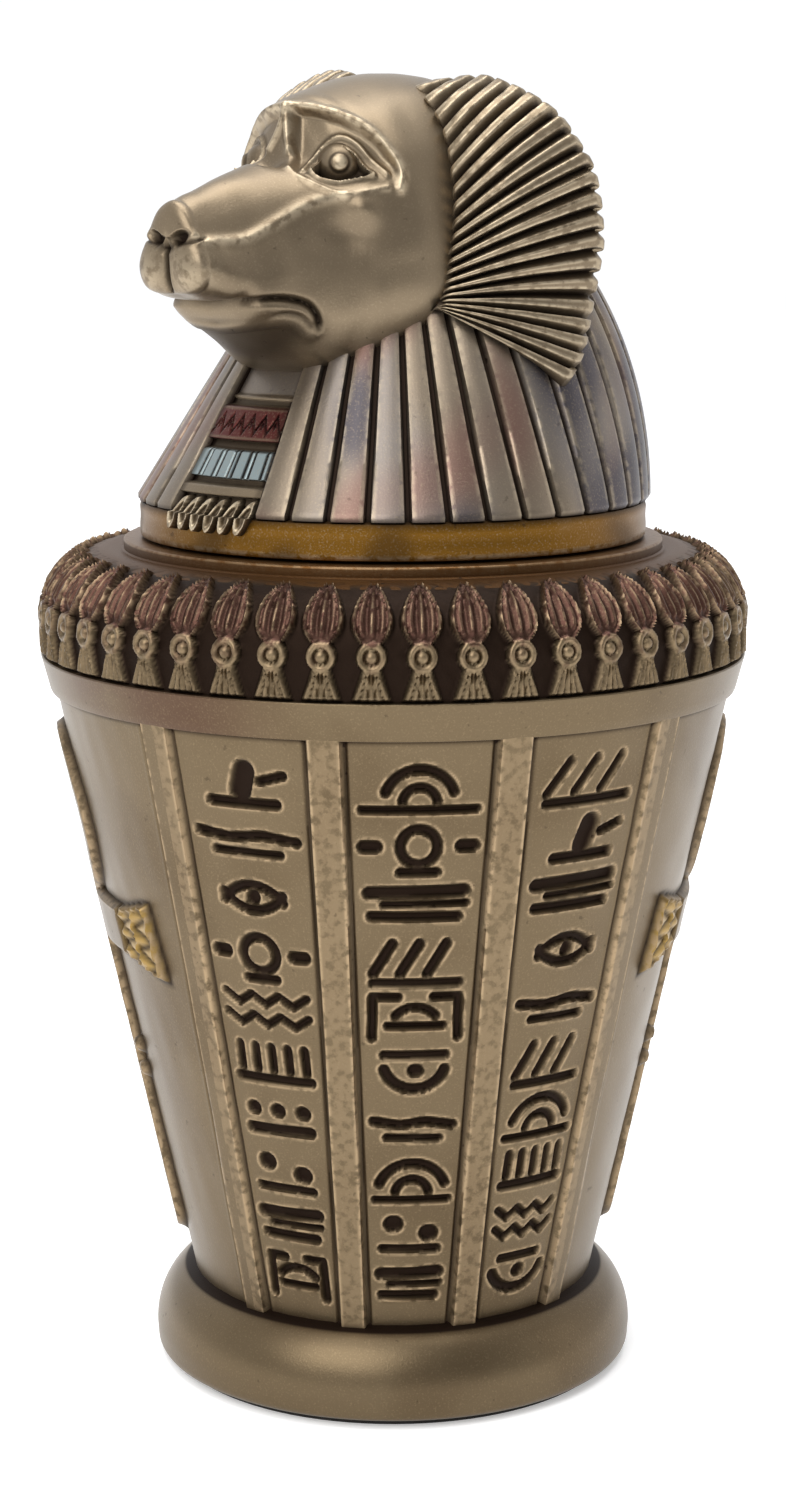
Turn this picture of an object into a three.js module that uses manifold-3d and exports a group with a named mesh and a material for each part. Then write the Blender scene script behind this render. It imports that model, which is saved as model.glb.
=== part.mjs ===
// A souvenir canopic jar in cast resin with a bronze finish: a hollow jar shaped as an inverted
// cone, a lift-off lid with a baboon's head, and a felt pad under the foot.
//
// Millimetres, +Z up, origin in the middle of the underside. The jar's front looks along -Y.
// Angles are in degrees about +Z, measured from the front and positive towards +X.
// The lid is modelled looking along -Y too, in terms of forward, side and height, and is then
// turned on the jar by LID_TURN.
import * as THREE from 'three';
import { mergeVertices } from 'three/addons/utils/BufferGeometryUtils.js';
import Module from 'manifold-3d';

const wasm = await Module();
wasm.setup();

// ---------------------------------------------------------------- driving dimensions

const GAP = 0.3; // between two pieces that touch
const SINK = 0.6; // how far an added detail reaches into the surface that carries it

// Felt pad
const PAD_RADIUS = 28.6;
const PAD_THICKNESS = 0.6;

// Jar, from the underside up
const JAR_BOTTOM = PAD_THICKNESS + GAP;
const FOOT_RADIUS = 30.3;
const FOOT_EDGE = 0.9; // rounding of the lower edge
const FOOT_WIDEST = 3.4; // height where the foot starts to round over
const FOOT_TOP = 11.6;
const FOOT_CORE = 23.9; // radius that its round is drawn from
const FOOT_TURN = 76; // degrees of that round, up to the cone
const CONE_FOOT = { r: 25.3, z: 11.4 };
const CONE_TOP = { r: 41.6, z: 86.3 };
const RIM_BAND = { bottomR: 42.3, topR: 43.4, topZ: 90.5 };
const SHOULDER_R = 42.6; // ground that the flowers stand on
const SHOULDER_BEND = 95.0; // height where the shoulder starts to close in
const SHOULDER_ROUND = 8.2; // radius of its arc
const NECK_R = 36.04; // where the shoulder meets the flange
const FLANGE = { r: 33.1, bottom: 103.0, top: 104.4 };
const MOUTH_R = 26.5;

// The jar's inside
const WALL = 4.2; // of the cone
const SHOULDER_WALL = 5.2; // where the inside starts to close in again
const FLOOR_Z = 8.0;
const FLOOR_CORNER = { rise: 4, inset: 2 }; // slope between the floor and the wall
const NECK_BOTTOM = 99.0; // below the neck the inside widens
const INSIDE_SHOULDER = 91.5;

// Ribs and columns of marks
const RIB_ANGLES = [-45, -15, 15, 45, 135, 165, 195, 225];
const RIB_LIFT = 0.7;
const RIB_HALF = { top: 1.9, bottom: 1.5 };
const COLUMN_ANGLES = [-30, 0, 30, 150, 180, 210];
const COLUMN_HALF = 15; // degrees from the middle of a column to the middle of a rib
const COLUMN_BOTTOM = 16;
const COLUMN_TOP = 83;
const MARK_ROWS = { front: 8, back: 3 };
const MARK_DEPTH = 0.8;
const MARK_WIDTH = 1.4;
const MARK_MARGIN = 2.2; // plain ground between the marks and a rib
const MARK_RISE = 0.28; // of the pitch, from the middle of a row to its strokes' ends
const MARK_SHORT = 0.65; // reach of the shorter strokes, against the longest
const MARK_NEAR = 0.2; // where two slanting strokes come close together

// Flowers round the shoulder
const FLOWERS = 48;
const FLOWER_TIP = 13.6; // distance up the shoulder where the buds close
const FLOWER = [ // distance up the shoulder, half width and height of the ridge
  { s: 0.1, half: 1.7, lift: 0.7 },
  { s: 3.8, half: 0.7, lift: 0.7 },
  { s: 5.1, half: 1.3, lift: 1.1 },
  { s: 6.4, half: 0.7, lift: 0.7 },
  { s: 9.2, half: 1.9, lift: 1.0 },
];

// Reliefs on the two plain sides
const SIDE_ANGLES = [-90, 90];
const SIDE_LIFT = 1.2;
const CROSSBAR = { z: 58, half: 3.4, flare: 4.7, reach: 34, stations: [-1, -0.6, 0, 0.6, 1] };
const LOOP = { z: 71, halfHeight: 10.5, halfWidth: 8.2, band: 3.0 };
const SHAFT = { top: 55.5, bottom: 15.5, topHalf: 3.0, bottomHalf: 4.4, round: 3, tip: 0.5, lift: 0.96 };

// Lid
const LID_TURN = -48; // where the head looks, against the jar's front
const PLUG = { r: 25.7, depth: 3.6 };
const BAND = { r: 31.0, bottom: FLANGE.top + GAP, top: 109.2 };
const HEM_R = 31.4;
const CLOTH_HEIGHTS = [109.2, 121, 134, 146];
const CLOTH_SLOPE = 0.63; // fall of the cloth in front, radius against height
const DOME_HEIGHT = 41.4; // of the ellipse that the cloth follows behind
const CLOTH_FRONT = 46; // the angles between which the slope turns into the dome
const CLOTH_BACK = 129;
const APRON_HALF = 12.5;
const APRON_DROP = 1.1; // how far the apron lies under the cloth beside it
const STRIPES = 39;
const GROOVE_WIDTH = 1.0;
const GROOVE_DEPTH = 0.7;

// Head: stations from the back of the skull to the nose, at a distance "f" in front of the axis.
// Each is a rounded section with a top, a bottom, a half width at its widest, the height of that
// width, and how much narrower its upper and lower edges are (0 an ellipse, 1 drawn in fully).
const HEAD = [
  { f: -16.0, top: 149.0, bottom: 137.0, half: 6.0, mid: 143, upper: 0.0, lower: 0.0 },
  { f: -12.5, top: 155.2, bottom: 129.4, half: 10.9, mid: 143, upper: 0.0, lower: 0.0 },
  { f: -6.0, top: 158.8, bottom: 125.4, half: 14.6, mid: 142, upper: 0.0, lower: 0.05 },
  { f: 2.0, top: 160.0, bottom: 123.0, half: 15.9, mid: 141, upper: 0.05, lower: 0.0 },
  { f: 8.0, top: 159.4, bottom: 122.6, half: 16.0, mid: 140, upper: 0.05, lower: -0.05 },
  { f: 12.5, top: 158.2, bottom: 123.2, half: 15.1, mid: 139.5, upper: 0.0, lower: -0.1 },
  { f: 16.2, top: 157.0, bottom: 124.2, half: 13.2, mid: 139, upper: 0.1, lower: -0.15 },
  { f: 18.0, top: 155.6, bottom: 124.7, half: 12.0, mid: 138, upper: 0.4, lower: -0.15 },
  { f: 19.2, top: 150.7, bottom: 125.0, half: 11.1, mid: 137.5, upper: -0.1, lower: -0.2 },
  { f: 24.0, top: 149.0, bottom: 127.3, half: 9.1, mid: 136.5, upper: 0.1, lower: -0.1 },
  { f: 28.0, top: 147.7, bottom: 130.0, half: 8.1, mid: 136, upper: 0.3, lower: -0.1 },
  { f: 30.6, top: 146.8, bottom: 133.5, half: 7.2, mid: 136.2, upper: 0.35, lower: 0.05 },
  { f: 34.0, top: 145.6, bottom: 134.1, half: 6.0, mid: 137, upper: 0.3, lower: 0.0 },
  { f: 35.6, top: 144.8, bottom: 134.9, half: 5.2, mid: 138, upper: 0.25, lower: 0.0 },
  { f: 36.8, top: 143.0, bottom: 137.0, half: 3.2, mid: 140, upper: 0.1, lower: 0.0 },
];
const HEAD_SIDES = 16;
const EYE = { f: 15.6, side: 6.7, z: 149.1, r: 2.6 };
const FACE_TURN = 44; // degrees that an eye and its brow look off the nose's direction
const BROW = {
  line: [[17.8, 0.9, 155.4], [16.6, 4.2, 155.1], [14.2, 8.8, 153.2], [12.5, 13.1, 147.8]],
  half: 0.9,
  lift: 0.5,
  root: 2.0,
  rings: 5,
};
const MOUTH = {
  line: [[31.8, 0, 134.0], [30.2, 7.0, 134.0], [26.3, 8.6, 134.0], [22.3, 10.2, 131.6]],
  half: 0.5,
  depth: 1.0,
  rings: 5,
};

// Mane fans: the line where a fan leaves the head and the line of its rim, from top to bottom
const MANE_ROOT = [
  [3.0, 5.5, 158.4],
  [5.4, 11.3, 154.4],
  [6.8, 14.8, 147.0],
  [7.4, 15.4, 142.1],
  [8.8, 15.2, 135.1],
  [10.1, 15.9, 132.9],
];
const MANE_RIM = [
  [0.0, 6.9, 159.0],
  [-2.1, 16.8, 158.4],
  [-3.0, 23.4, 154.8],
  [-5.5, 26.7, 147.5],
  [-7.5, 25.5, 137.0],
  [-4.8, 26.2, 130.1],
  [0.2, 27.6, 124.3],
];
const MANE_GATHER = 1.4; // how much closer together the ribs start towards the foot of the root
const MANE_CROWN = 1.6; // how much higher the top of the left fan stands
const CROWN_FROM = 148; // height at which that rise begins
const MANE_RIBS = 21;
const MANE_BULGE = 2.4;
const MANE_OUT = [0.75, 0.6, 0.15]; // the way its ribbed face looks
const MANE_EDGE = [-2.4, 0, -0.3]; // from the front of the rim to its back
const MANE_INNER = [-7, -6, -1]; // from the root to the back, inside the head
const RIB_HEIGHT = 0.9;

// Apron on the front of the lid, from its neck down: height of the middle, half height, lift
const APRON_BANDS = [
  { z: 119.2, half: 1.9, lift: 0.9 },
  { z: 114.9, half: 1.6, lift: 0.7 },
  { z: 111.9, half: 0.7, lift: 1.2 },
];
const DROPS = 6;
const DROP = { top: 111.2, bottom: 107.6, half: 0.75, lift: 1.2, lean: 1.2 };

// Fineness of the round forms
const TURN_STEPS = 48;
const INSIDE_STEPS = 20;
const LOOP_STEPS = 12;

// ---------------------------------------------------------------- helpers

const rad = THREE.MathUtils.degToRad;
const lerp = THREE.MathUtils.lerp;
const smooth = THREE.MathUtils.smoothstep;

// A point at radius r, an angle from the front and a height.
function polar(r, angle, z) {
  return new THREE.Vector3(r * Math.sin(rad(angle)), -r * Math.cos(rad(angle)), z);
}

// A solid from shared points and triangles, with its faces turned outwards.
function solid(points, triangles) {
  const vertProperties = new Float32Array(points.flatMap((p) => [p.x, p.y, p.z]));
  const kept = [];
  let volume = 0;
  for (let i = 0; i < triangles.length; i += 3) {
    const [a, b, c] = [triangles[i], triangles[i + 1], triangles[i + 2]];
    if (a !== b && b !== c && c !== a) {
      kept.push([a, b, c]);
      volume += points[a].dot(new THREE.Vector3().crossVectors(points[b], points[c]));
    }
  }
  const outward = kept.map(([a, b, c]) => (volume < 0 ? [a, c, b] : [a, b, c]));
  const triVerts = new Uint32Array(outward.flat());
  return new wasm.Manifold(new wasm.Mesh({ numProp: 3, vertProperties, triVerts }));
}

// A three.js geometry as a solid.
function solidOf(geometry) {
  geometry.deleteAttribute('normal');
  geometry.deleteAttribute('uv');
  const merged = mergeVertices(geometry, 1e-5);
  const position = merged.getAttribute('position');
  const points = [];
  for (let i = 0; i < position.count; i += 1) {
    points.push(new THREE.Vector3().fromBufferAttribute(position, i));
  }
  return solid(points, Array.from(merged.index.array));
}

// A body of revolution about +Z from a profile of [radius, height] pairs that starts and ends on
// the axis. Its flat facets are centred on the front.
function turned(profile, steps) {
  const points = profile.map(([r, z]) => new THREE.Vector2(r, z));
  const geometry = new THREE.LatheGeometry(points, steps, Math.PI / steps);
  geometry.rotateX(Math.PI / 2);
  return solidOf(geometry);
}

// A closed body through rings of points, each ring with the same number of points.
// Both ends are closed flat, or the last ring joins the first where "closed" is set.
function loft(rings, closed = false) {
  const count = rings[0].length;
  const triangles = [];
  const spans = closed ? rings.length : rings.length - 1;
  for (let i = 0; i < spans; i += 1) {
    const next = (i + 1) % rings.length;
    for (let j = 0; j < count; j += 1) {
      const a = i * count + j;
      const b = i * count + ((j + 1) % count);
      const c = next * count + j;
      const d = next * count + ((j + 1) % count);
      triangles.push(a, b, d, a, d, c);
    }
  }
  const points = rings.flat();
  if (!closed) {
    for (const [start, turn] of [[0, 1], [(rings.length - 1) * count, 0]]) {
      const ring = points.slice(start, start + count);
      const centre = ring.reduce((sum, p) => sum.add(p), new THREE.Vector3()).divideScalar(count);
      points.push(centre);
      for (let j = 0; j < count; j += 1) {
        const edge = [start + ((j + turn) % count), start + ((j + 1 - turn) % count)];
        triangles.push(points.length - 1, ...edge);
      }
    }
  }
  return solid(points, triangles);
}

// A circle of points at one radius and height.
function circle(r, z, steps) {
  return Array.from({ length: steps }, (_, i) => polar(r, ((i + 0.5) * 360) / steps, z));
}

// A closed body through loops of points, each running once round the axis. Neighbouring loops may
// have different numbers of points: the next triangle steps on along whichever loop lags behind.
function skin(loops) {
  const points = loops.flat();
  const triangles = [];
  const turns = loops.map((loop) => {
    const angles = loop.map((p) => THREE.MathUtils.radToDeg(Math.atan2(p.x, -p.y)));
    return [...angles.map((angle) => (angle - angles[0] + 360) % 360 + angles[0]), angles[0] + 360];
  });
  let start = 0;
  for (let n = 0; n + 1 < loops.length; n += 1) {
    const [below, above] = [loops[n].length, loops[n + 1].length];
    const next = start + below;
    let [i, j] = [0, 0];
    while (i < below || j < above) {
      const stepBelow = j === above || (i < below && turns[n][i + 1] <= turns[n + 1][j + 1]);
      const [a, b] = [start + (i % below), next + (j % above)];
      if (stepBelow) {
        i += 1;
        triangles.push(a, start + (i % below), b);
      } else {
        j += 1;
        triangles.push(a, next + (j % above), b);
      }
    }
    start = next;
  }
  const first = points.length;
  points.push(new THREE.Vector3(0, 0, loops[0][0].z), new THREE.Vector3(0, 0, loops.at(-1)[0].z));
  loops[0].forEach((_, i) => triangles.push(first, (i + 1) % loops[0].length, i));
  loops.at(-1).forEach((_, i, loop) => triangles.push(first + 1, start + i, start + ((i + 1) % loop.length)));
  return solid(points, triangles);
}

// All solids of a list as one.
function joined(solids) {
  return solids.reduce((whole, next) => whole.add(next));
}

// Points on an arc of the profile, from one angle to another (degrees, 0 outwards, 90 up).
function arc(centreR, centreZ, radiusR, radiusZ, from, to, steps) {
  const points = [];
  for (let i = 0; i <= steps; i += 1) {
    const t = rad(lerp(from, to, i / steps));
    points.push([centreR + radiusR * Math.cos(t), centreZ + radiusZ * Math.sin(t)]);
  }
  return points;
}

// A place on the smooth curve through a list of points, at the share u of its length.
function along(line, u) {
  return new THREE.CatmullRomCurve3(line.map((point) => new THREE.Vector3(...point))).getPointAt(u);
}

// ---------------------------------------------------------------- jar

// Radius of the bare cone at a height.
function coneRadius(z) {
  return lerp(CONE_FOOT.r, CONE_TOP.r, (z - CONE_FOOT.z) / (CONE_TOP.z - CONE_FOOT.z));
}

// A point over the cone: "across" in mm along the surface from the middle angle.
function onCone(middle, across, z, lift) {
  const r = coneRadius(z);
  return polar(r + lift, middle + THREE.MathUtils.radToDeg(across / r), z);
}

// A point over the shoulder at the distance s up its profile from the rim band.
function onShoulder(middle, across, s, lift) {
  const straight = SHOULDER_BEND - RIM_BAND.topZ;
  const t = Math.max(0, (s - straight) / SHOULDER_ROUND);
  const centre = SHOULDER_R - SHOULDER_ROUND;
  const r = centre + (SHOULDER_ROUND + lift) * Math.cos(t);
  const z = s < straight ? RIM_BAND.topZ + s : SHOULDER_BEND + (SHOULDER_ROUND + lift) * Math.sin(t);
  return polar(r, middle + THREE.MathUtils.radToDeg(across / r), z);
}

// Loops of points round the shoulder that make its ring of flowers: each flower is a fan tail, a
// round disc and a pointed bud that leans in, as one flat-topped ridge whose width and height
// follow them, with a valley between two.
function flowerLoops() {
  const pitch = 360 / FLOWERS;
  return FLOWER.map(({ s, half, lift }) => Array.from({ length: FLOWERS }, (_, i) => [
    onShoulder(i * pitch, -half, s, lift),
    onShoulder(i * pitch, half, s, lift),
    onShoulder((i + 0.5) * pitch, 0, s, 0),
  ]).flat());
}

// The hollow vessel: its outside from the underside up to the flange, and its inside back down.
function jarShell() {
  const outside = [
    [FOOT_RADIUS - FOOT_EDGE, JAR_BOTTOM],
    [FOOT_RADIUS, JAR_BOTTOM + FOOT_EDGE],
    ...arc(FOOT_CORE, FOOT_WIDEST, FOOT_RADIUS - FOOT_CORE, FOOT_TOP - FOOT_WIDEST, 0, FOOT_TURN, 3),
    [CONE_FOOT.r, CONE_FOOT.z],
    [CONE_TOP.r, CONE_TOP.z],
    [RIM_BAND.bottomR, CONE_TOP.z],
    [RIM_BAND.topR, RIM_BAND.topZ],
  ];
  const tip = onShoulder(0, 0, FLOWER_TIP, 0);
  const neck = [
    [-tip.y, tip.z],
    [NECK_R, FLANGE.bottom],
    [FLANGE.r, FLANGE.bottom],
    [FLANGE.r, FLANGE.top],
  ];
  const inside = [
    [MOUTH_R, FLANGE.top],
    [MOUTH_R, NECK_BOTTOM],
    [coneRadius(INSIDE_SHOULDER) - SHOULDER_WALL, INSIDE_SHOULDER],
    [coneRadius(FLOOR_Z + FLOOR_CORNER.rise) - WALL, FLOOR_Z + FLOOR_CORNER.rise],
    [coneRadius(FLOOR_Z) - WALL - FLOOR_CORNER.inset, FLOOR_Z],
  ];
  return skin([
    ...outside.map(([r, z]) => circle(r, z, TURN_STEPS)),
    ...flowerLoops(),
    ...neck.map(([r, z]) => circle(r, z, TURN_STEPS)),
    ...inside.map(([r, z]) => circle(r, z, INSIDE_STEPS)),
  ]);
}

// One flat rib: a bar that follows the cone from the foot to the rim band.
function rib(angle) {
  const section = (z, half) => [
    onCone(angle, -half, z, -SINK),
    onCone(angle, half, z, -SINK),
    onCone(angle, half, z, RIB_LIFT),
    onCone(angle, -half, z, RIB_LIFT),
  ];
  return loft([section(FOOT_TOP - SINK, RIB_HALF.bottom), section(CONE_TOP.z + SINK, RIB_HALF.top)]);
}

// A shallow cut or bar on the cone between two points given as [across, height].
function stroke(angle, from, to, width, low, high) {
  const run = new THREE.Vector2(to[0] - from[0], to[1] - from[1]).normalize();
  const side = [-run.y * width / 2, run.x * width / 2];
  const section = ([x, z]) => [
    onCone(angle, x - side[0], z - side[1], low),
    onCone(angle, x + side[0], z + side[1], low),
    onCone(angle, x + side[0], z + side[1], high),
    onCone(angle, x - side[0], z - side[1], high),
  ];
  return loft([section(from), section(to)]);
}

// One column of marks: rows of plain strokes, which turn through four simple arrangements.
// The columns at the back have fewer rows of a single stroke.
function markColumn(angle) {
  const marks = [];
  const plain = Math.abs(angle) > 90;
  const rows = plain ? MARK_ROWS.back : MARK_ROWS.front;
  const pitch = (COLUMN_TOP - COLUMN_BOTTOM) / rows;
  for (let row = 0; row < rows; row += 1) {
    const z = COLUMN_BOTTOM + (row + 0.5) * pitch;
    const half = coneRadius(z) * rad(COLUMN_HALF) - RIB_HALF.top - MARK_MARGIN;
    const rise = pitch * MARK_RISE;
    const short = half * MARK_SHORT;
    const near = half * MARK_NEAR;
    const arrangements = [
      [[[-half, z], [half, z]]],
      [[[-half, z + rise], [half, z + rise]], [[-short, z - rise], [short, z - rise]]],
      [[[-short, z - rise], [-short, z + rise]], [[short, z - rise], [short, z + rise]]],
      [[[-half, z - rise], [-near, z + rise]], [[near, z + rise], [half, z - rise]]],
    ];
    const chosen = plain ? 0 : (row + COLUMN_ANGLES.indexOf(angle) + 1) % arrangements.length;
    for (const [from, to] of arrangements[chosen]) {
      marks.push(stroke(angle, from, to, MARK_WIDTH, -MARK_DEPTH, 1));
    }
  }
  return joined(marks);
}

// The relief on one plain side: an oval loop over a crossbar with flared ends, and a shaft.
function sideRelief(angle) {
  const bar = [];
  const reach = coneRadius(CROSSBAR.z) * rad(CROSSBAR.reach);
  for (const t of CROSSBAR.stations) {
    const half = lerp(CROSSBAR.half, CROSSBAR.flare, Math.abs(t) ** 3);
    const x = t * reach;
    bar.push([
      onCone(angle, x, CROSSBAR.z - half, -SINK),
      onCone(angle, x, CROSSBAR.z + half, -SINK),
      onCone(angle, x, CROSSBAR.z + half, SIDE_LIFT),
      onCone(angle, x, CROSSBAR.z - half, SIDE_LIFT),
    ]);
  }
  const loop = Array.from({ length: LOOP_STEPS }, (_, i) => {
    const t = (i / LOOP_STEPS) * 2 * Math.PI;
    const edge = (inset, lift) => onCone(
      angle,
      (LOOP.halfWidth - inset) * Math.cos(t),
      LOOP.z + (LOOP.halfHeight - inset) * Math.sin(t),
      lift,
    );
    return [edge(0, -SINK), edge(0, SIDE_LIFT), edge(LOOP.band, SIDE_LIFT), edge(LOOP.band, -SINK)];
  });
  const shaft = [[SHAFT.top, 1], [SHAFT.bottom + SHAFT.round, 1], [SHAFT.bottom, SHAFT.tip]].map(([z, share]) => {
    const half = share * lerp(SHAFT.bottomHalf, SHAFT.topHalf, (z - SHAFT.bottom) / (SHAFT.top - SHAFT.bottom));
    return [
      onCone(angle, -half, z, -SINK),
      onCone(angle, half, z, -SINK),
      onCone(angle, half, z, SHAFT.lift),
      onCone(angle, -half, z, SHAFT.lift),
    ];
  });
  return joined([loft(bar), loft(loop, true), loft(shaft)]);
}

function jar() {
  const raised = [
    ...RIB_ANGLES.map(rib),
    ...SIDE_ANGLES.map(sideRelief),
  ];
  const cuts = COLUMN_ANGLES.map(markColumn);
  return joined([jarShell(), ...raised]).subtract(joined(cuts));
}

// ---------------------------------------------------------------- lid

// A point of the lid from its forward distance, side and height.
function ahead([forward, side, z]) {
  return new THREE.Vector3(side, -forward, z);
}

// Radius of the headcloth: a straight slope in front that turns into a dome behind.
function clothRadius(angle, z) {
  const above = z - BAND.top;
  const slope = HEM_R - CLOTH_SLOPE * above;
  const dome = HEM_R * Math.sqrt(1 - (above / DOME_HEIGHT) ** 2);
  const turn = Math.abs(((angle + 540) % 360) - 180);
  return lerp(slope, dome, smooth(turn, CLOTH_FRONT, CLOTH_BACK));
}

// Loops of points round the headcloth: stripes parted by grooves that run down it, and the lower
// apron in front.
function clothLoops() {
  const columns = [];
  const pitch = (360 - 2 * APRON_HALF) / STRIPES;
  const grooveHalf = THREE.MathUtils.radToDeg(GROOVE_WIDTH / 2 / HEM_R);
  columns.push([-APRON_HALF + grooveHalf, APRON_DROP]);
  columns.push([0, APRON_DROP]);
  columns.push([APRON_HALF - grooveHalf, APRON_DROP]);
  for (let i = 0; i <= STRIPES; i += 1) {
    const angle = APRON_HALF + i * pitch;
    if (i > 0) columns.push([angle - grooveHalf, 0]);
    columns.push([angle, i > 0 && i < STRIPES ? GROOVE_DEPTH : 0]);
    if (i > 0 && i < STRIPES) columns.push([angle + grooveHalf, 0]);
  }
  return CLOTH_HEIGHTS.map((z) => columns.map(
    ([angle, drop]) => polar(clothRadius(angle, z) - drop, angle, z),
  ));
}

// One section of the head.
function headSection(station) {
  const ring = [];
  for (let i = 0; i < HEAD_SIDES; i += 1) {
    const t = (i / HEAD_SIDES) * 2 * Math.PI;
    const up = Math.sin(t);
    const reach = up > 0 ? station.top - station.mid : station.mid - station.bottom;
    const drawnIn = up > 0 ? station.upper : station.lower;
    const side = station.half * Math.cos(t) * (1 - drawnIn * Math.abs(up));
    ring.push(ahead([station.f, side, station.mid + reach * up]));
  }
  return ring;
}

// A bar along a line on one side of the face, as wide as twice "half" and reaching from below the
// surface to above it along the way that the eye looks.
function faceBar({ line, half, rings }, side, below, above) {
  const out = [Math.cos(rad(FACE_TURN)), Math.sin(rad(FACE_TURN))];
  return loft(Array.from({ length: rings }, (_, i) => {
    const p = along(line, i / (rings - 1));
    return [[-below, -half], [above, -half / 3], [above, half / 3], [-below, half]].map(
      ([far, up]) => ahead([p.x + out[0] * far, side * (p.y + out[1] * far), p.z + up]),
    );
  }));
}

function eye(side) {
  const ball = solidOf(new THREE.SphereGeometry(EYE.r, 8, 4));
  const place = ahead([EYE.f, side * EYE.side, EYE.z]);
  return ball.translate([place.x, place.y, place.z]);
}

// One mane fan: ribs that run from the head out to the rim, on a curved shell.
function mane(side) {
  const steps = 2 * MANE_RIBS;
  const out = new THREE.Vector3(...MANE_OUT).normalize();
  const rings = [];
  for (let i = 0; i <= steps; i += 1) {
    const root = along(MANE_ROOT, 1 - (1 - i / steps) ** MANE_GATHER);
    const rim = along(MANE_RIM, i / steps);
    if (side < 0) rim.z += MANE_CROWN * smooth(rim.z, CROWN_FROM, MANE_RIM[0][2]);
    const lift = i % 2 === 0 ? -RIB_HEIGHT / 2 : RIB_HEIGHT / 2;
    const middle = root.clone().lerp(rim, 0.5);
    const ring = [
      root.clone().addScaledVector(out, -SINK),
      middle.addScaledVector(out, MANE_BULGE + lift),
      rim.clone().addScaledVector(out, lift),
      rim.clone().add(new THREE.Vector3(...MANE_EDGE)),
      root.clone().add(new THREE.Vector3(...MANE_INNER)),
    ];
    rings.push(ring.map((p) => ahead([p.x, side * p.y, p.z])));
  }
  return loft(rings);
}

// The bands and the row of leaning drops on the apron.
function apronTrim() {
  const parts = APRON_BANDS.map(({ z, half, lift }) => {
    const angles = [-APRON_HALF, 0, APRON_HALF];
    return loft(angles.map((angle) => {
      const low = clothRadius(angle, z - half) - APRON_DROP;
      const high = clothRadius(angle, z + half) - APRON_DROP;
      return [
        polar(low - SINK, angle, z - half),
        polar(low + lift, angle, z - half),
        polar(high + lift, angle, z + half),
        polar(high - SINK, angle, z + half),
      ];
    }));
  });
  for (let i = 0; i < DROPS; i += 1) {
    const across = lerp(-APRON_HALF, APRON_HALF, (i + 0.5) / DROPS);
    const section = (z, half, shift) => {
      const r = z < BAND.top ? BAND.r : clothRadius(0, z) - APRON_DROP;
      const middle = across + THREE.MathUtils.radToDeg(shift / r);
      const turn = THREE.MathUtils.radToDeg(half / r);
      return [
        polar(r - SINK, middle - turn, z),
        polar(r - SINK, middle + turn, z),
        polar(r + DROP.lift, middle, z),
      ];
    };
    parts.push(loft([
      section(DROP.bottom, DROP.half * 0.6, -DROP.lean / 2),
      section(lerp(DROP.bottom, DROP.top, 0.4), DROP.half, 0),
      section(DROP.top, 0.2, DROP.lean / 2),
    ]));
  }
  return joined(parts);
}

function lid() {
  const base = [
    [PLUG.r, BAND.bottom - PLUG.depth],
    [PLUG.r, BAND.bottom],
    [BAND.r, BAND.bottom],
    [BAND.r, BAND.top],
  ].map(([r, z]) => circle(r, z, TURN_STEPS));
  const sides = [-1, 1];
  const head = sides.reduce(
    (whole, side) => whole.subtract(faceBar(MOUTH, side, MOUTH.depth, MOUTH.depth)),
    loft(HEAD.map(headSection)),
  );
  return joined([
    skin([...base, ...clothLoops()]),
    head,
    ...sides.map((side) => faceBar(BROW, side, BROW.root, BROW.lift)),
    ...sides.map(eye),
    ...sides.map(mane),
    apronTrim(),
  ]);
}

// ---------------------------------------------------------------- felt pad

function feltPad() {
  return turned([
    [0, 0],
    [PAD_RADIUS, 0],
    [PAD_RADIUS, PAD_THICKNESS],
    [0, PAD_THICKNESS],
  ], TURN_STEPS / 2);
}

// ---------------------------------------------------------------- scene graph

function mesh(name, body, color, roughness, metalness) {
  const { vertProperties, triVerts } = body.getMesh();
  const geometry = new THREE.BufferGeometry();
  geometry.setAttribute('position', new THREE.BufferAttribute(new Float32Array(vertProperties), 3));
  geometry.setIndex(new THREE.BufferAttribute(new Uint32Array(triVerts), 1));
  geometry.computeVertexNormals();
  const made = new THREE.Mesh(geometry, new THREE.MeshStandardMaterial({ color, roughness, metalness }));
  made.name = name;
  return made;
}

const canopicJar = new THREE.Group();
canopicJar.add(mesh('felt_pad', feltPad(), 0x11100e, 0.95, 0));
canopicJar.add(mesh('jar', jar(), 0x8a765a, 0.45, 0.6));
const lidTurned = new THREE.Group();
lidTurned.rotation.z = rad(LID_TURN);
lidTurned.add(mesh('lid', lid(), 0x8e7a60, 0.45, 0.6));
canopicJar.add(lidTurned);

export default canopicJar;
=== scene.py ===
# %% [markdown]
# # A canopic jar in cast resin
# The object is a souvenir: a hollow jar shaped as an inverted cone, a lift-off lid with a
# baboon's head, and a felt pad. Its casting carries fine relief, so every visible surface is
# made here as a grid of points worked out with numpy: the relief is a height in millimetres
# that is added to a plain cone, shoulder, dome or head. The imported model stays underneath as
# the frame, and the pieces below stand in for its three nodes.

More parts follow.
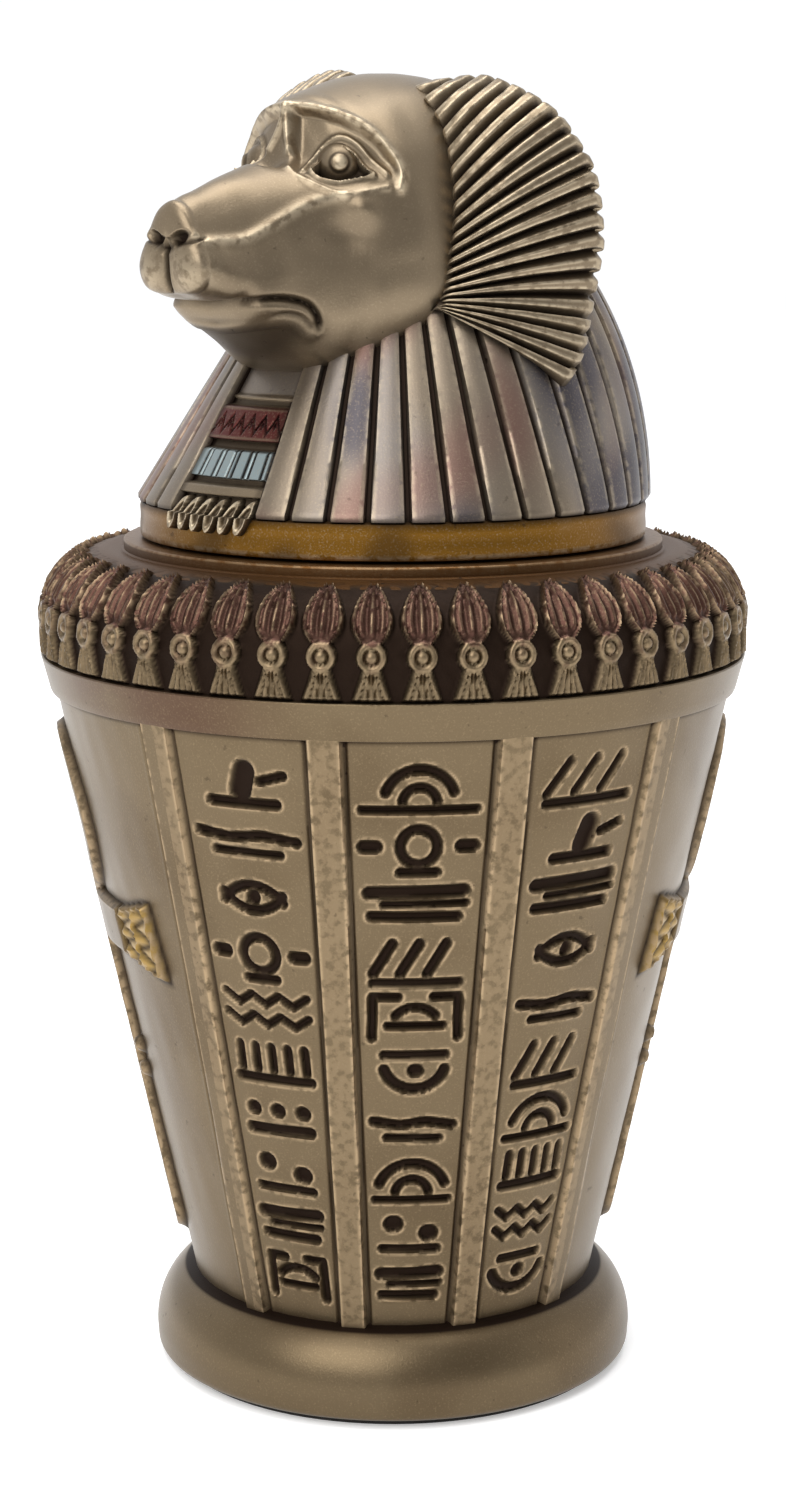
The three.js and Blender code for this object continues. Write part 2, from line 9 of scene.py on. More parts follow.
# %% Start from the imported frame
import math
import bpy
import numpy as np
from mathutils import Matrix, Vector


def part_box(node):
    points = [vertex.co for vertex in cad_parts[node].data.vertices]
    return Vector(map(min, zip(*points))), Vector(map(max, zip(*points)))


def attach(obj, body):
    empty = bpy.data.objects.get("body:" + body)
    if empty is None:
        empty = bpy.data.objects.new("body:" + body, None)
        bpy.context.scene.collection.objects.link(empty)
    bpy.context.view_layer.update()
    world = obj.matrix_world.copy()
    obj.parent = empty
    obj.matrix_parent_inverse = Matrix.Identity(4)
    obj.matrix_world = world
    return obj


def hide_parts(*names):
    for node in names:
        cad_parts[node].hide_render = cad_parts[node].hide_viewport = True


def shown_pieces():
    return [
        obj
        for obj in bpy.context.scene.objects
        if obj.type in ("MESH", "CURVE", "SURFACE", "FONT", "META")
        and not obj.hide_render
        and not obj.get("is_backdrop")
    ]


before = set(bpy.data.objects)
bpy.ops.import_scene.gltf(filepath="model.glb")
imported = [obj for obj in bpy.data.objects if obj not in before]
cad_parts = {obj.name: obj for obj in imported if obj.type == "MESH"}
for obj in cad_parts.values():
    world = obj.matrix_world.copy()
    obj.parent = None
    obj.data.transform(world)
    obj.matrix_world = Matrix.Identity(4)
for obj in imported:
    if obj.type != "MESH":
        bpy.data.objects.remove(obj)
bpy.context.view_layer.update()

MM = 0.001
jar_low, jar_high = (np.array(corner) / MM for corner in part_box("jar"))
pad_low, pad_high = (np.array(corner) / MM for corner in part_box("felt_pad"))
lid_low, lid_high = (np.array(corner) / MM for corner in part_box("lid"))
print("jar, pad and lid heights in mm:", jar_high[2], pad_high[2], lid_high[2])

# %% [markdown]
# ## Grids, meshes and attributes
# A surface here is always a grid: rows one way, columns the other. A helper turns such a grid
# into a mesh. Each point can also carry numbers, such as how deep it lies or how red it is,
# and the materials read those as attributes, so dirt gathers exactly where the relief is deep.

# %% Grid helpers
def grid_quads(rows, columns, wrap_rows, wrap_columns):
    """Quads of a grid whose point number is row * columns + column, as an (n, 4) array."""
    row = np.arange(rows if wrap_rows else rows - 1)[:, None]
    column = np.arange(columns if wrap_columns else columns - 1)[None, :]
    next_row, next_column = (row + 1) % rows, (column + 1) % columns
    corners = [row * columns + column, row * columns + next_column,
               next_row * columns + next_column, next_row * columns + column]
    return np.stack([np.broadcast_to(c, (row.size, column.size)) for c in corners], axis=-1).reshape(-1, 4)


def closed_tube(rows, columns):
    """Faces of a grid whose columns wrap, with a fan of triangles from its first and last row to
    a point each. Those two points follow the grid's own, the first row's before the last row's."""
    this, after, last = np.arange(columns), (np.arange(columns) + 1) % columns, (rows - 1) * columns
    first_fan = np.stack([np.full(columns, rows * columns), after, this], axis=1)
    last_fan = np.stack([np.full(columns, rows * columns + 1), last + this, last + after], axis=1)
    return [grid_quads(rows, columns, False, True), first_fan, last_fan]


def turned_over(faces):
    """The same faces seen from the other side."""
    return [face[:, ::-1] for face in faces]


def add_mesh(name, points, polygons, attributes=None, sharp=None):
    """A smooth-shaded object from points in mm, shape (n, 3), and a list of polygon arrays, each
    shape (m, k). attributes maps a name to one number per point. sharp is an angle in degrees
    past which an edge is shown sharp."""
    mesh = bpy.data.meshes.new(name)
    mesh.vertices.add(len(points))
    mesh.vertices.foreach_set("co", (np.asarray(points, dtype=np.float32) * MM).ravel())
    sizes = np.concatenate([np.full(len(p), p.shape[1]) for p in polygons])
    mesh.loops.add(int(sizes.sum()))
    corners = np.concatenate([p.ravel() for p in polygons])
    mesh.loops.foreach_set("vertex_index", corners.astype(np.int32))
    mesh.polygons.add(len(sizes))
    starts = np.concatenate([[0], np.cumsum(sizes)[:-1]])
    mesh.polygons.foreach_set("loop_start", starts.astype(np.int32))
    mesh.update(calc_edges=True)
    mesh.validate()
    mesh.shade_smooth()
    if sharp is not None:
        mesh.set_sharp_from_angle(angle=math.radians(sharp))
    for key, values in (attributes or {}).items():
        layer = mesh.attributes.new(key, "FLOAT", "POINT")
        layer.data.foreach_set("value", np.asarray(values, dtype=np.float32).ravel())
    piece = bpy.data.objects.new(name, mesh)
    bpy.context.scene.collection.objects.link(piece)
    print(f"{name}: {len(points)} points, {len(sizes)} faces")
    return piece


def slab(name, grid, attributes, sharp, flip=False):
    """A closed body from a grid (rows, columns, 3) whose first and last row lie behind its face.
    Rows wrap round, and a polygon closes each upright end. attributes are given for the whole
    grid, or for the face alone, and then the rows behind get 0."""
    rows, columns = grid.shape[:2]
    ends = np.arange(rows) * columns
    faces = [grid_quads(rows, columns, True, False), ends[None, ::-1], ends[None, :] + columns - 1]
    padded = {key: value if len(value) == rows else np.pad(value, ((1, 1), (0, 0)))
              for key, value in attributes.items()}
    return add_mesh(name, grid.reshape(-1, 3), turned_over(faces) if flip else faces, padded, sharp)


def polar(radius, angle, z):
    """Points at a radius, an angle in degrees from the front (-Y, positive towards +X) and a
    height: x = r sin a, y = -r cos a."""
    turn = np.radians(angle)
    return np.stack(np.broadcast_arrays(radius * np.sin(turn), -radius * np.cos(turn), z), axis=-1)


def smooth(low, high, x):
    """0 below low, 1 above high, and 3t^2 - 2t^3 between."""
    t = np.clip((x - low) / (high - low), 0, 1)
    return t * t * (3 - 2 * t)


def hump(distance, width):
    """A bell of height 1: e to the minus square of distance over width."""
    return np.exp(-((distance / width) ** 2))


def spline(knots, values, x):
    """A smooth curve through values at knots: between two knots a cubic whose slopes are those
    of the chord through the neighbours. values may have more columns."""
    knots, values, x = np.asarray(knots, float), np.asarray(values, float), np.asarray(x, float)
    if values.ndim == 1:
        return spline(knots, values[:, None], x)[..., 0]
    slope = np.gradient(values, knots, axis=0)
    i = np.clip(np.searchsorted(knots, x) - 1, 0, len(knots) - 2)
    step = (knots[i + 1] - knots[i])[..., None]
    t = ((x - knots[i]) / (knots[i + 1] - knots[i]))[..., None]
    return ((2 * t**3 - 3 * t**2 + 1) * values[i] + (t**3 - 2 * t**2 + t) * step * slope[i]
            + (3 * t**2 - 2 * t**3) * values[i + 1] + (t**3 - t**2) * step * slope[i + 1])


def ripple(points, size, seed):
    """A soft, even roughness from -1 to 1 with lumps of about the given size in mm: the mean of
    a few sine waves that run in fixed random directions."""
    rng = np.random.default_rng(seed)
    waves = rng.normal(size=(9, 3))
    length = np.linalg.norm(waves, axis=1, keepdims=True)
    waves *= (2 * np.pi / size) / length * rng.uniform(0.7, 1.4, (9, 1))
    return np.sin(points @ waves.T + rng.uniform(0, 2 * np.pi, 9)).mean(axis=-1) * 1.8


def turned(name, profile, steps, attributes=None, sharp=30):
    """A body of revolution from a profile of (radius, height) pairs that starts and ends on the
    axis, where each end is closed by a fan of triangles."""
    profile = np.asarray(profile, float)
    angle = np.arange(steps) * 360 / steps
    ring = polar(profile[1:-1, 0][:, None], angle[None, :], profile[1:-1, 1][:, None])
    points = np.concatenate([ring.reshape(-1, 3), [[0, 0, profile[0, 1]], [0, 0, profile[-1, 1]]]])
    values = {key: function(points) for key, function in (attributes or {}).items()}
    return add_mesh(name, points, closed_tube(len(profile) - 2, steps), values, sharp)


def round_over(centre, radii, start, end, steps):
    """Points on an arc of an ellipse from start to end in degrees, 0 pointing outwards and 90 up."""
    t = np.radians(np.linspace(start, end, steps))
    return [(centre[0] + radii[0] * math.cos(a), centre[1] + radii[1] * math.sin(a)) for a in t]

# %% [markdown]
# ## The proportions of the jar
# These are the casting's own sizes, in mm. The cone runs straight from the foot to the rim
# band; the shoulder is a quarter round above it. A place on the cone is given by the distance
# across from a middle angle and by the height, so that marks keep their size as the cone widens.

# %% Sizes of the jar
FOOT_R, CONE_LOW, CONE_HIGH = 30.3, (25.3, 11.4), (41.6, 86.3)
BAND_LOW_R, BAND_HIGH_R, BAND_TOP = 42.35, 43.4, 90.5
SHOULDER_R, SHOULDER_BEND, SHOULDER_ROUND = 42.6, 95.0, 8.2
FLANGE_R, FLANGE_LOW, FLANGE_TOP, MOUTH_R = 33.1, 103.0, jar_high[2], 26.5
RIB_LIFT, RIB_PITCH = 0.7, 30.0
WALL, SKIN = 4.2, 1.0


def cone_radius(z):
    """Radius of the bare cone at a height, a straight line between its two ends."""
    return CONE_LOW[0] + (z - CONE_LOW[1]) * (CONE_HIGH[0] - CONE_LOW[0]) / (CONE_HIGH[1] - CONE_LOW[1])


def rib_half(z):
    """Half the width of a rib, which narrows from 1.95 mm at the band to 1.5 mm at the foot."""
    return 1.5 + 0.45 * (z - CONE_LOW[1]) / (CONE_HIGH[1] - CONE_LOW[1])


lean = math.atan2(CONE_HIGH[0] - CONE_LOW[0], CONE_HIGH[1] - CONE_LOW[1])
print("cone leans", round(math.degrees(lean), 1), "degrees")

# %% [markdown]
# ## The vessel under the relief
# The jar is hollow: floor, wall, shoulder and mouth are one body of revolution. Its outer skin
# lies a millimetre under the relief that covers it, except at the foot, the rim band and the
# flange, where it shows. The finish needs to know how deep each place lies, so a function of
# radius and height marks the dirty corner above the foot and the corner under the flange.

# %% Vessel
def vessel_grime(points):
    """Dirt from 0 to 1: the corner between foot and cone, the corner under the flange, and the
    whole inside, which nobody polishes."""
    radius, z = np.hypot(points[:, 0], points[:, 1]), points[:, 2]
    foot_corner = 1 - smooth(0.3, 2.0, np.hypot(radius - CONE_LOW[0] - 0.2, z - CONE_LOW[1] - 0.2))
    inside = (radius < MOUTH_R + 0.2) | ((z > 14) & (radius < cone_radius(z) - 2.5) & (z < 99))
    flange = smooth(FLANGE_LOW - 2.5, FLANGE_LOW - 0.5, z) * (radius > MOUTH_R + 0.2)
    return np.clip(foot_corner + 0.6 * inside + flange * (0.2 + 0.35 * (z < FLANGE_TOP - 0.3)), 0, 1)


skin = [(cone_radius(z) - SKIN, z) for z in (12.5, 88)]
inner_wall = [(cone_radius(z) - WALL, z) for z in (70, 45, 20, 12)]
shoulder_centre = (SHOULDER_R - SHOULDER_ROUND, SHOULDER_BEND)
vessel = turned("vessel", [
    (0, jar_low[2]), *[(r, jar_low[2]) for r in (12, 24, FOOT_R - 1.2)],
    *round_over((FOOT_R - 1.0, jar_low[2] + 1.2), (0.9, 1.2), -90, 0, 6),
    *round_over((23.9, 3.6), (FOOT_R - 23.9, 8.0), 0, 77, 28), (25.2, 11.5), (24.9, 12.1),
    *skin, (SHOULDER_R - SKIN, BAND_TOP), (SHOULDER_R - SKIN, SHOULDER_BEND),
    *round_over(shoulder_centre, (SHOULDER_ROUND - SKIN,) * 2, 10, 60, 12),
    *round_over(shoulder_centre, (SHOULDER_ROUND,) * 2, 66, 86, 8),
    (FLANGE_R + 0.25, FLANGE_LOW + 0.02), (FLANGE_R, FLANGE_LOW + 0.2),
    *round_over((FLANGE_R - 0.35, FLANGE_TOP - 0.35), (0.35, 0.35), 0, 90, 5),
    *round_over((MOUTH_R + 0.4, FLANGE_TOP - 0.4), (0.4, 0.4), 90, 180, 4),
    (MOUTH_R, 99), (cone_radius(91.5) - WALL - 1, 91.5), *inner_wall,
    (18.4, 8.0), (9, 8.0), (0, 8.0),
], 256, {
    "grime": vessel_grime,
    "amber": lambda points: 0.8 * smooth(FLANGE_LOW - 2.5, FLANGE_LOW - 0.5, points[:, 2]),
    # Painted highlight: a bright ridge along the flange's top edge.
    "worn": lambda points: 0.45 * smooth(0.3, 0.0, np.abs(points[:, 2] - FLANGE_TOP + 0.15))
    * (np.hypot(points[:, 0], points[:, 1]) > FLANGE_R - 0.4),
})

# %% [markdown]
# ## Marks in the columns
# The three front columns hold rows of shallow cut marks. They stand in for writing without
# being any: bars, dots, rings, bowls and zigzags from a small stock of groups. A group is a
# list of strokes in a cell that is 2 units wide and is measured in mm in height, and each
# stroke is known by the distance to its middle line. Taking the smallest distance to any
# stroke gives one field for the whole column, and the depth follows from that field.

# %% Distances to strokes
def distance_to_bar(x, z, bar):
    """Distance in mm from points (x, z) to the segment (x0, z0)-(x1, z1), less half its width."""
    x0, z0, x1, z1, width = bar
    run_x, run_z = x1 - x0, z1 - z0
    t = np.clip(((x - x0) * run_x + (z - z0) * run_z) / (run_x**2 + run_z**2 + 1e-9), 0, 1)
    return np.hypot(x - x0 - t * run_x, z - z0 - t * run_z) - width / 2


def distance_to_arc(x, z, arc):
    """Distance in mm to an arc about (cx, cz) with a radius, from one angle to another in degrees
    counted from the right and upwards, less half its width."""
    cx, cz, radius, start, end, width = arc
    turn = np.mod(np.degrees(np.arctan2(z - cz, x - cx)) - start, 360)
    span = end - start
    turn = np.where(turn < span, turn, np.where(turn - span < 360 - turn, span, 0))
    near = np.radians(turn + start)
    return np.hypot(x - cx - radius * np.cos(near), z - cz - radius * np.sin(near)) - width / 2


MARKS = {
    "figure": [("bar", 0, -0.9, 0.1, 1.1, 2.3), ("bar", -0.55, -2.1, 0.6, -2.1, 1.0),
               ("bar", 0.35, 0.2, 0.75, 0.9, 0.9)],
    "wave": [("bar", -0.9, 0.6, -0.3, 0.2, 1.0), ("bar", -0.3, 0.2, 0.3, 0.6, 1.0),
             ("bar", 0.3, 0.6, 0.9, 0.1, 1.0), ("bar", -0.6, -1.2, 0.6, -1.3, 0.8)],
    "lens": [("arc", 0, -2.6, 3.9, 35, 145, 1.0), ("arc", 0, 2.6, 3.9, 215, 325, 1.0),
             ("bar", 0, -0.1, 0.02, 0.1, 1.5)],
    "ring": [("arc", 0, 0, 1.8, 0, 360, 1.0), ("bar", -0.9, 0, -0.7, 0, 1.3), ("bar", 0.7, 0, 0.9, 0, 1.3),
             ("bar", -0.3, -2.6, 0.3, -2.6, 0.9)],
    "twin": [("bar", -0.85, 1.2, 0.8, 1.4, 1.3), ("bar", -0.8, -1.2, 0.7, -1.3, 1.0),
             ("bar", -0.6, 0.0, 0.85, 0.1, 0.7)],
    "zigzag": [("bar", 0.3 * k - 0.9, level + 0.5 * (-1) ** k, 0.3 * k - 0.6, level - 0.5 * (-1) ** k, 0.8)
               for k in range(6) for level in (1.1, -1.1)],
    "ticks": [("bar", -0.75 + 0.38 * k, 1.9, -0.75 + 0.38 * k, -0.6, 0.9) for k in range(5)]
             + [("bar", -0.85, -1.6, 0.85, -1.6, 1.0)],
    "dots": [("bar", -0.65 + 0.63 * k, 0.9, -0.62 + 0.63 * k, 0.9, 1.5) for k in range(3)]
            + [("bar", -0.75, -1.3, 0.75, -1.2, 1.2)],
    "arches": [("arc", 0, -1.6, 3.5, 20, 160, 1.0), ("arc", 0, -1.6, 1.7, 10, 170, 0.9),
               ("bar", -0.9, -2.2, 0.9, -2.2, 0.8)],
    "bowl": [("arc", 0, 1.4, 3.2, 200, 340, 1.1), ("bar", -0.65, 1.9, 0.65, 1.9, 0.9),
             ("bar", 0, 0.2, 0.05, 0.2, 1.4)],
    "slants": [("bar", -0.8 + 0.5 * k, -1.3, -0.45 + 0.5 * k, 1.9, 1.0) for k in range(3)]
              + [("bar", -0.8, -2.3, 0.8, -2.3, 0.9)],
    "frame": [("bar", -0.85, 2.2, -0.85, -2.2, 0.9), ("bar", 0.85, 2.2, 0.85, -2.2, 0.9),
              ("bar", -0.8, 2.2, -0.35, 2.2, 0.9), ("bar", 0.35, 2.2, 0.8, 2.2, 0.9),
              ("arc", 0, -1.5, 2.6, 40, 140, 0.9), ("bar", -0.55, -0.9, 0.55, -0.9, 0.8)],
    "drops": [("bar", -0.5, 1.0, -0.45, 1.0, 1.8), ("bar", 0.45, -0.1, 0.5, -0.1, 1.8),
              ("bar", -0.75, -1.8, 0.7, -1.9, 0.9)],
}
MARK_SCALE = 1.18
FRONT_COLUMNS = {
    -30: ["figure", "wave", "lens", "ring", "zigzag", "ticks", "dots", "drops", "twin", "frame"],
    0: ["arches", "ring", "twin", "slants", "frame", "bowl", "wave", "arches", "drops", "twin"],
    30: ["slants", "figure", "twin", "lens", "wave", "slants", "arches", "ticks", "zigzag", "bowl"],
}
BACK_ROWS = ["twin", "ticks", "wave", "twin", "dots", "bowl", "twin", "zigzag"]
BACK_COLUMNS = {180 + angle: BACK_ROWS for angle in FRONT_COLUMNS}
COLUMN_TOP, COLUMN_BOTTOM = 84.0, 13.5


def mark_distance(x, z, rows):
    """Distance to the nearest stroke of a column: x across from its middle, z its height. Each
    group sits in the middle of its own row and is squeezed sideways as the column narrows."""
    nearest = np.full(x.shape, 9.0)
    pitch = (COLUMN_TOP - COLUMN_BOTTOM) / len(rows)
    for number, name in enumerate(rows):
        middle = COLUMN_TOP - (number + 0.5) * pitch
        half = (math.radians(RIB_PITCH / 2) * cone_radius(middle) - rib_half(middle) - 1.3) / MARK_SCALE
        here = np.abs(z - middle) < pitch * 0.75
        px, pz = x[here] / MARK_SCALE, (z[here] - middle) / MARK_SCALE
        for kind, *stroke in MARKS[name]:
            if kind == "bar":
                x0, z0, x1, z1, width = stroke
                found = distance_to_bar(px, pz, (x0 * half, z0, x1 * half, z1, width))
            else:
                cx, *rest = stroke
                found = distance_to_arc(px, pz, (cx * half, *rest))
            nearest[here] = np.minimum(nearest[here], found * MARK_SCALE)
    return nearest


print(sum(len(MARKS[name]) for rows in FRONT_COLUMNS.values() for name in rows), "strokes on the front")

# %% [markdown]
# ## The ribbed walls of the cone
# Four slabs cover the cone: front, back and two sides, parted along the middle of a rib where
# the surface is plain. Each is a closed body. Its outer face is a fine grid whose height over
# the cone is the relief: flat ribs, the thin sunk line beside each rib, the marks, or the raised
# figure of the plain sides.

# %% Relief of the front and back walls
MARK_DEPTH = 0.75


def ribs(angle, z):
    """Height of the ribs and their sunk outline, and the distance in mm to the nearest rib's edge:
    the angle is folded so that each rib sits at zero."""
    folded = np.mod(angle + RIB_PITCH, RIB_PITCH) - RIB_PITCH / 2
    edge = np.abs(np.radians(folded)) * cone_radius(z) - rib_half(z)
    height = RIB_LIFT * smooth(0.12, -0.12, edge)
    line = hump(edge - 0.42, 0.2) * 0.22
    lip = hump(edge - 0.85, 0.2) * 0.06
    return height - line + lip, edge


def rib_dirt(edge, z):
    """Dirt in the sunk line beside each rib and in the corner under the rim band."""
    return 0.75 * hump(edge - 0.4, 0.26) + smooth(85.3, 86.2, z) * (edge > 0)


def column_relief(columns):
    """A relief function for a wall whose marks are given as {middle angle: rows}."""
    def relief(angle, z):
        """Height and attributes: the ribs, less the marks, with a small lip around each mark."""
        height, edge = ribs(angle, z)
        nearest = np.full(angle.shape, 9.0)
        for middle, rows in columns.items():
            turn = np.mod(angle - middle + 180, 360) - 180
            here = np.abs(turn) < RIB_PITCH / 2
            nearest[here] = mark_distance(np.radians(turn[here]) * cone_radius(z[here]), z[here], rows)
        cut = smooth(0.16, -0.34, nearest)
        height = height - MARK_DEPTH * cut + 0.07 * hump(nearest - 0.2, 0.14)
        grime = np.clip(cut * 1.1 + rib_dirt(edge, z), 0, 1)
        # Rubbed metal and painted highlight: the lip round each mark, the rib edges and the rib tops are
        # lightened.
        worn = hump(nearest - 0.22, 0.16) + hump(edge + 0.15, 0.2) + 0.3 * smooth(0.1, -0.1, edge)
        return height, {"grime": grime, "worn": np.clip(worn, 0, 1), "gilt": np.zeros_like(z)}
    return relief


# %% [markdown]
# ## The raised figure on the plain sides
# Each side carries one tall looped cross, a traditional sign: an oval loop, a crossbar whose
# flared ends are gilt and cut into triangles, and a shaft with a rounded end and two beads.
# Each part is a signed distance, negative inside, and they are joined by the smallest value.

# %% Relief of the sides
SIDE_LIFT = 1.2
LOOP_Z, LOOP_HALF = 71.0, (6.7, 9.0)
BAR_Z, BAR_REACH, CAP_LENGTH = 58.0, 34.0, 7.5
SHAFT_END, SHAFT_ROUND, BEADS = 20.0, 4.4, ((4.9, 41.5), (4.7, 38.3))
BORDER_FROM = 38


def side_relief(angle, z):
    """Height of the looped cross over the cone, with the ribs that border the wall."""
    middle = np.where(angle > 0, 90.0, -90.0)
    x = np.radians(angle - middle) * cone_radius(z)
    height, edge = ribs(angle, z)
    ribbed = np.abs(angle - middle) > BORDER_FROM
    height, edge = np.where(ribbed, height, 0), np.where(ribbed, edge, 9)
    oval = np.hypot(x / LOOP_HALF[0], (z - LOOP_Z) / LOOP_HALF[1])
    loop = np.abs(oval - 1) * min(LOOP_HALF) - 1.5
    reach = math.radians(BAR_REACH) * cone_radius(BAR_Z)
    half = 3.2 + 1.5 * smooth(0.55 * reach, reach, np.abs(x)) ** 1.5
    bar = np.maximum(np.abs(z - BAR_Z) - half, np.abs(x) - reach)
    shaft_half = SHAFT_ROUND - 1.4 * (z - 16) / 40
    shaft = np.maximum(np.abs(x) - shaft_half, z - 56)
    shaft = np.maximum(shaft, np.hypot(x, np.minimum(z - SHAFT_END, 0) * 1.1) - SHAFT_ROUND)
    beads = np.minimum(*(np.hypot(np.abs(x) - bead_x, z - bead_z) for bead_x, bead_z in BEADS)) - 1.1
    figure = np.minimum(np.minimum(loop, bar), np.minimum(shaft, beads))
    raised = SIDE_LIFT * smooth(0.2, -0.5, figure)
    cap = smooth(0.4, -0.1, reach - CAP_LENGTH - np.abs(x)) * smooth(0.1, -0.1, bar)
    teeth = np.abs(np.mod((z - BAR_Z) / half * 1.5 + 0.5, 1) - 0.5) * 2
    sunk = smooth(-0.45, -0.75, bar)
    facet = 0.75 * np.abs(teeth - np.mod((reach - np.abs(x)) / (CAP_LENGTH / 2), 1)) * sunk
    cap_line = hump(np.abs(x) - (reach - CAP_LENGTH), 0.25) * (bar < -0.1)
    height = height + raised - cap * (0.55 * sunk - facet) - 0.35 * cap_line
    grime = 0.85 * hump(figure - 0.25, 0.4) + 0.9 * cap * smooth(0.35, 0.0, facet) * sunk + 0.8 * cap_line
    grime = grime + rib_dirt(edge, z)
    # Rubbed metal and painted highlight along the figure's edges and the rib edges.
    worn = hump(figure + 0.3, 0.25) + hump(edge + 0.15, 0.2)
    return height, {"grime": np.clip(grime, 0, 1), "worn": np.clip(worn, 0, 1), "gilt": cap}


# %% Build the four walls
def wall(name, start, end, columns, rows, relief):
    """A slab over the cone between two angles. Its outer grid follows the relief, and one more
    row above and below lies behind it."""
    angle, z = np.meshgrid(np.linspace(start, end, columns),
                           np.linspace(CONE_LOW[1] - 0.3, BAND_TOP - 3.9, rows))
    height, values = relief(angle, z)
    flat = polar(cone_radius(z), angle, z).reshape(-1, 3)
    height = height + 0.035 * ripple(flat, 5.0, 3).reshape(height.shape)
    outer = polar(cone_radius(z) + height, angle, z)
    back_z = z[[0, -1]]
    back = polar(cone_radius(back_z) - 1.6 * SKIN, angle[[0, -1]], back_z)
    return slab(name, np.concatenate([back[:1], outer, back[1:]]), values, 50)


wall_front = wall("wall_front", -45, 45, 320, 290, column_relief(FRONT_COLUMNS))
wall_back = wall("wall_back", 135, 225, 190, 190, column_relief(BACK_COLUMNS))
wall_right = wall("wall_right", 45, 135, 180, 190, side_relief)
wall_left = wall("wall_left", -135, -45, 180, 190, side_relief)

# %% [markdown]
# ## Rim band and shoulder
# The band is a plain raised strip over the columns. Above it the shoulder carries forty-eight
# flowers. One flower is a height over a small patch that is given by the distance across and
# the distance up the shoulder's profile: a fan tail, a ringed disc and a pointed bud with a
# raised outline and ribs inside. All of them are one grid, so the whole ring is one casting.

# %% Rim band
rim_band = turned("rim_band", [
    (0, 86.0), (38, 86.0), (BAND_LOW_R - 0.5, 86.0), (BAND_LOW_R - 0.12, 86.08), (BAND_LOW_R, 86.3),
    *[(BAND_LOW_R + (BAND_HIGH_R - BAND_LOW_R) * t, 86.3 + (BAND_TOP - 86.5) * t)
      for t in (0.25, 0.5, 0.75, 1)],
    (BAND_HIGH_R - 0.12, BAND_TOP - 0.05), (BAND_HIGH_R - 0.5, BAND_TOP), (38, BAND_TOP), (0, BAND_TOP),
], 256, {"red": lambda points: 0.6 * smooth(24, 6, np.hypot(points[:, 0] + 32, points[:, 1] + 30))})

# %% Flower ring
FLOWERS, FLOWER_COLUMNS, FLOWER_ROWS = 48, 28, 64
FLOWER_TOP, TAIL_TOP, BUD_LOW, BUD_HIGH = 15.6, 4.3, 6.1, 14.3
DISC_MIDDLE, DISC_R, DISC_LINE = 5.1, 1.8, 0.78
FIN_APEX, FIN_PITCH = 5.4, 9.6


def shoulder(angle, s, lift):
    """A point of the shoulder at s mm up its profile from the rim band: straight to the bend and
    then round an arc, with lift along the outward normal."""
    straight = SHOULDER_BEND - BAND_TOP
    t = np.maximum(0, (s - straight) / SHOULDER_ROUND)
    radius = SHOULDER_R - SHOULDER_ROUND + (SHOULDER_ROUND + lift) * np.cos(t)
    z = np.where(s < straight, BAND_TOP + s, SHOULDER_BEND + (SHOULDER_ROUND + lift) * np.sin(t))
    return polar(radius, angle, z)


def flower_height(x, s):
    """Height in mm of one flower at x across and s up, with how deep and how red it is."""
    spread = np.degrees(np.arctan2(x, FIN_APEX - s))
    tail_half = 2.35 - 0.34 * s
    tail = smooth(0.12, -0.25, np.maximum(np.abs(x) - tail_half, np.maximum(0.25 - s, s - TAIL_TOP)))
    fins = 0.5 + 0.5 * np.cos(np.radians(spread * 360 / FIN_PITCH))
    tail_height = tail * (0.62 + 0.36 * fins**0.6 - 0.12 * np.abs(x) / 2)
    radius = np.hypot(x, s - DISC_MIDDLE)
    disc = smooth(DISC_R, DISC_R - 0.25, radius)
    disc_height = disc * (1.02 - 0.5 * hump(radius - DISC_LINE, 0.17) + 0.08 * smooth(0.5, 0.2, radius))
    t = np.clip((s - BUD_LOW) / (BUD_HIGH - BUD_LOW), 0, 1)
    bud_half = 2.42 * np.sin(np.pi * t**0.72) ** 0.85 * (1 - 0.22 * t) + 0.12
    across = np.abs(x) / np.maximum(bud_half, 0.15)
    bud = smooth(1.06, 0.9, across) * smooth(BUD_LOW - 0.1, BUD_LOW + 0.2, s) * smooth(14.7, 14.2, s)
    rim = hump(across - 0.86, 0.13)
    veins = 0.5 + 0.5 * np.cos(2 * np.pi * across * 1.9)
    veins = veins * (across < 0.7) * smooth(7.0, 7.8, s) * smooth(13.4, 12.2, s)
    bud_height = bud * (0.4 + 0.62 * np.clip(rim + 0.7 * veins, 0, 1) + 0.1 * (1 - across))
    height = np.maximum(np.maximum(tail_height, bud_height), disc_height)
    top = np.clip(height / 0.95, 0, 1)
    return height, bud * (height > 0.1), top, disc


angles = np.arange(FLOWERS * FLOWER_COLUMNS) * 360 / (FLOWERS * FLOWER_COLUMNS)
angle, s = np.meshgrid(angles, np.linspace(0.05, FLOWER_TOP, FLOWER_ROWS))
pitch = 360 / FLOWERS
away = np.mod(angle + pitch / 2, pitch) - pitch / 2
ground = shoulder(angle, s, 0.0)
x = np.radians(away) * np.hypot(ground[..., 0], ground[..., 1])
height, bud, top, disc = flower_height(x, s)
rough = ripple(ground.reshape(-1, 3), 1.6, 5).reshape(s.shape)
height = height * 1.02 + 0.05 * rough
outer = shoulder(angle, s, height)
back = shoulder(angle[[0, -1]], s[[0, -1]], -1.4)
points = np.concatenate([back[:1], outer, back[1:]])
plain = smooth(13.6, 15.2, s)
values = {
    "grime": np.clip((1 - smooth(0.15, 0.75, height)) * (1 - 0.3 * plain), 0, 1),
    # Rubbed metal and painted highlight on the tops of the flowers, strongest on the buds' ridges.
    "worn": (0.4 + 0.3 * bud) * smooth(0.86, 1.02, top),
    "red": np.clip(0.95 * bud + 0.35 * disc * (rough > 0.1), 0, 1),
    "amber": 0.85 * plain,
}
values = {key: np.pad(value, ((1, 1), (0, 0))) for key, value in values.items()}
flower_ring = add_mesh("flower_ring", points.reshape(-1, 3),
                       [grid_quads(FLOWER_ROWS + 2, FLOWERS * FLOWER_COLUMNS, True, True)], values, 60)

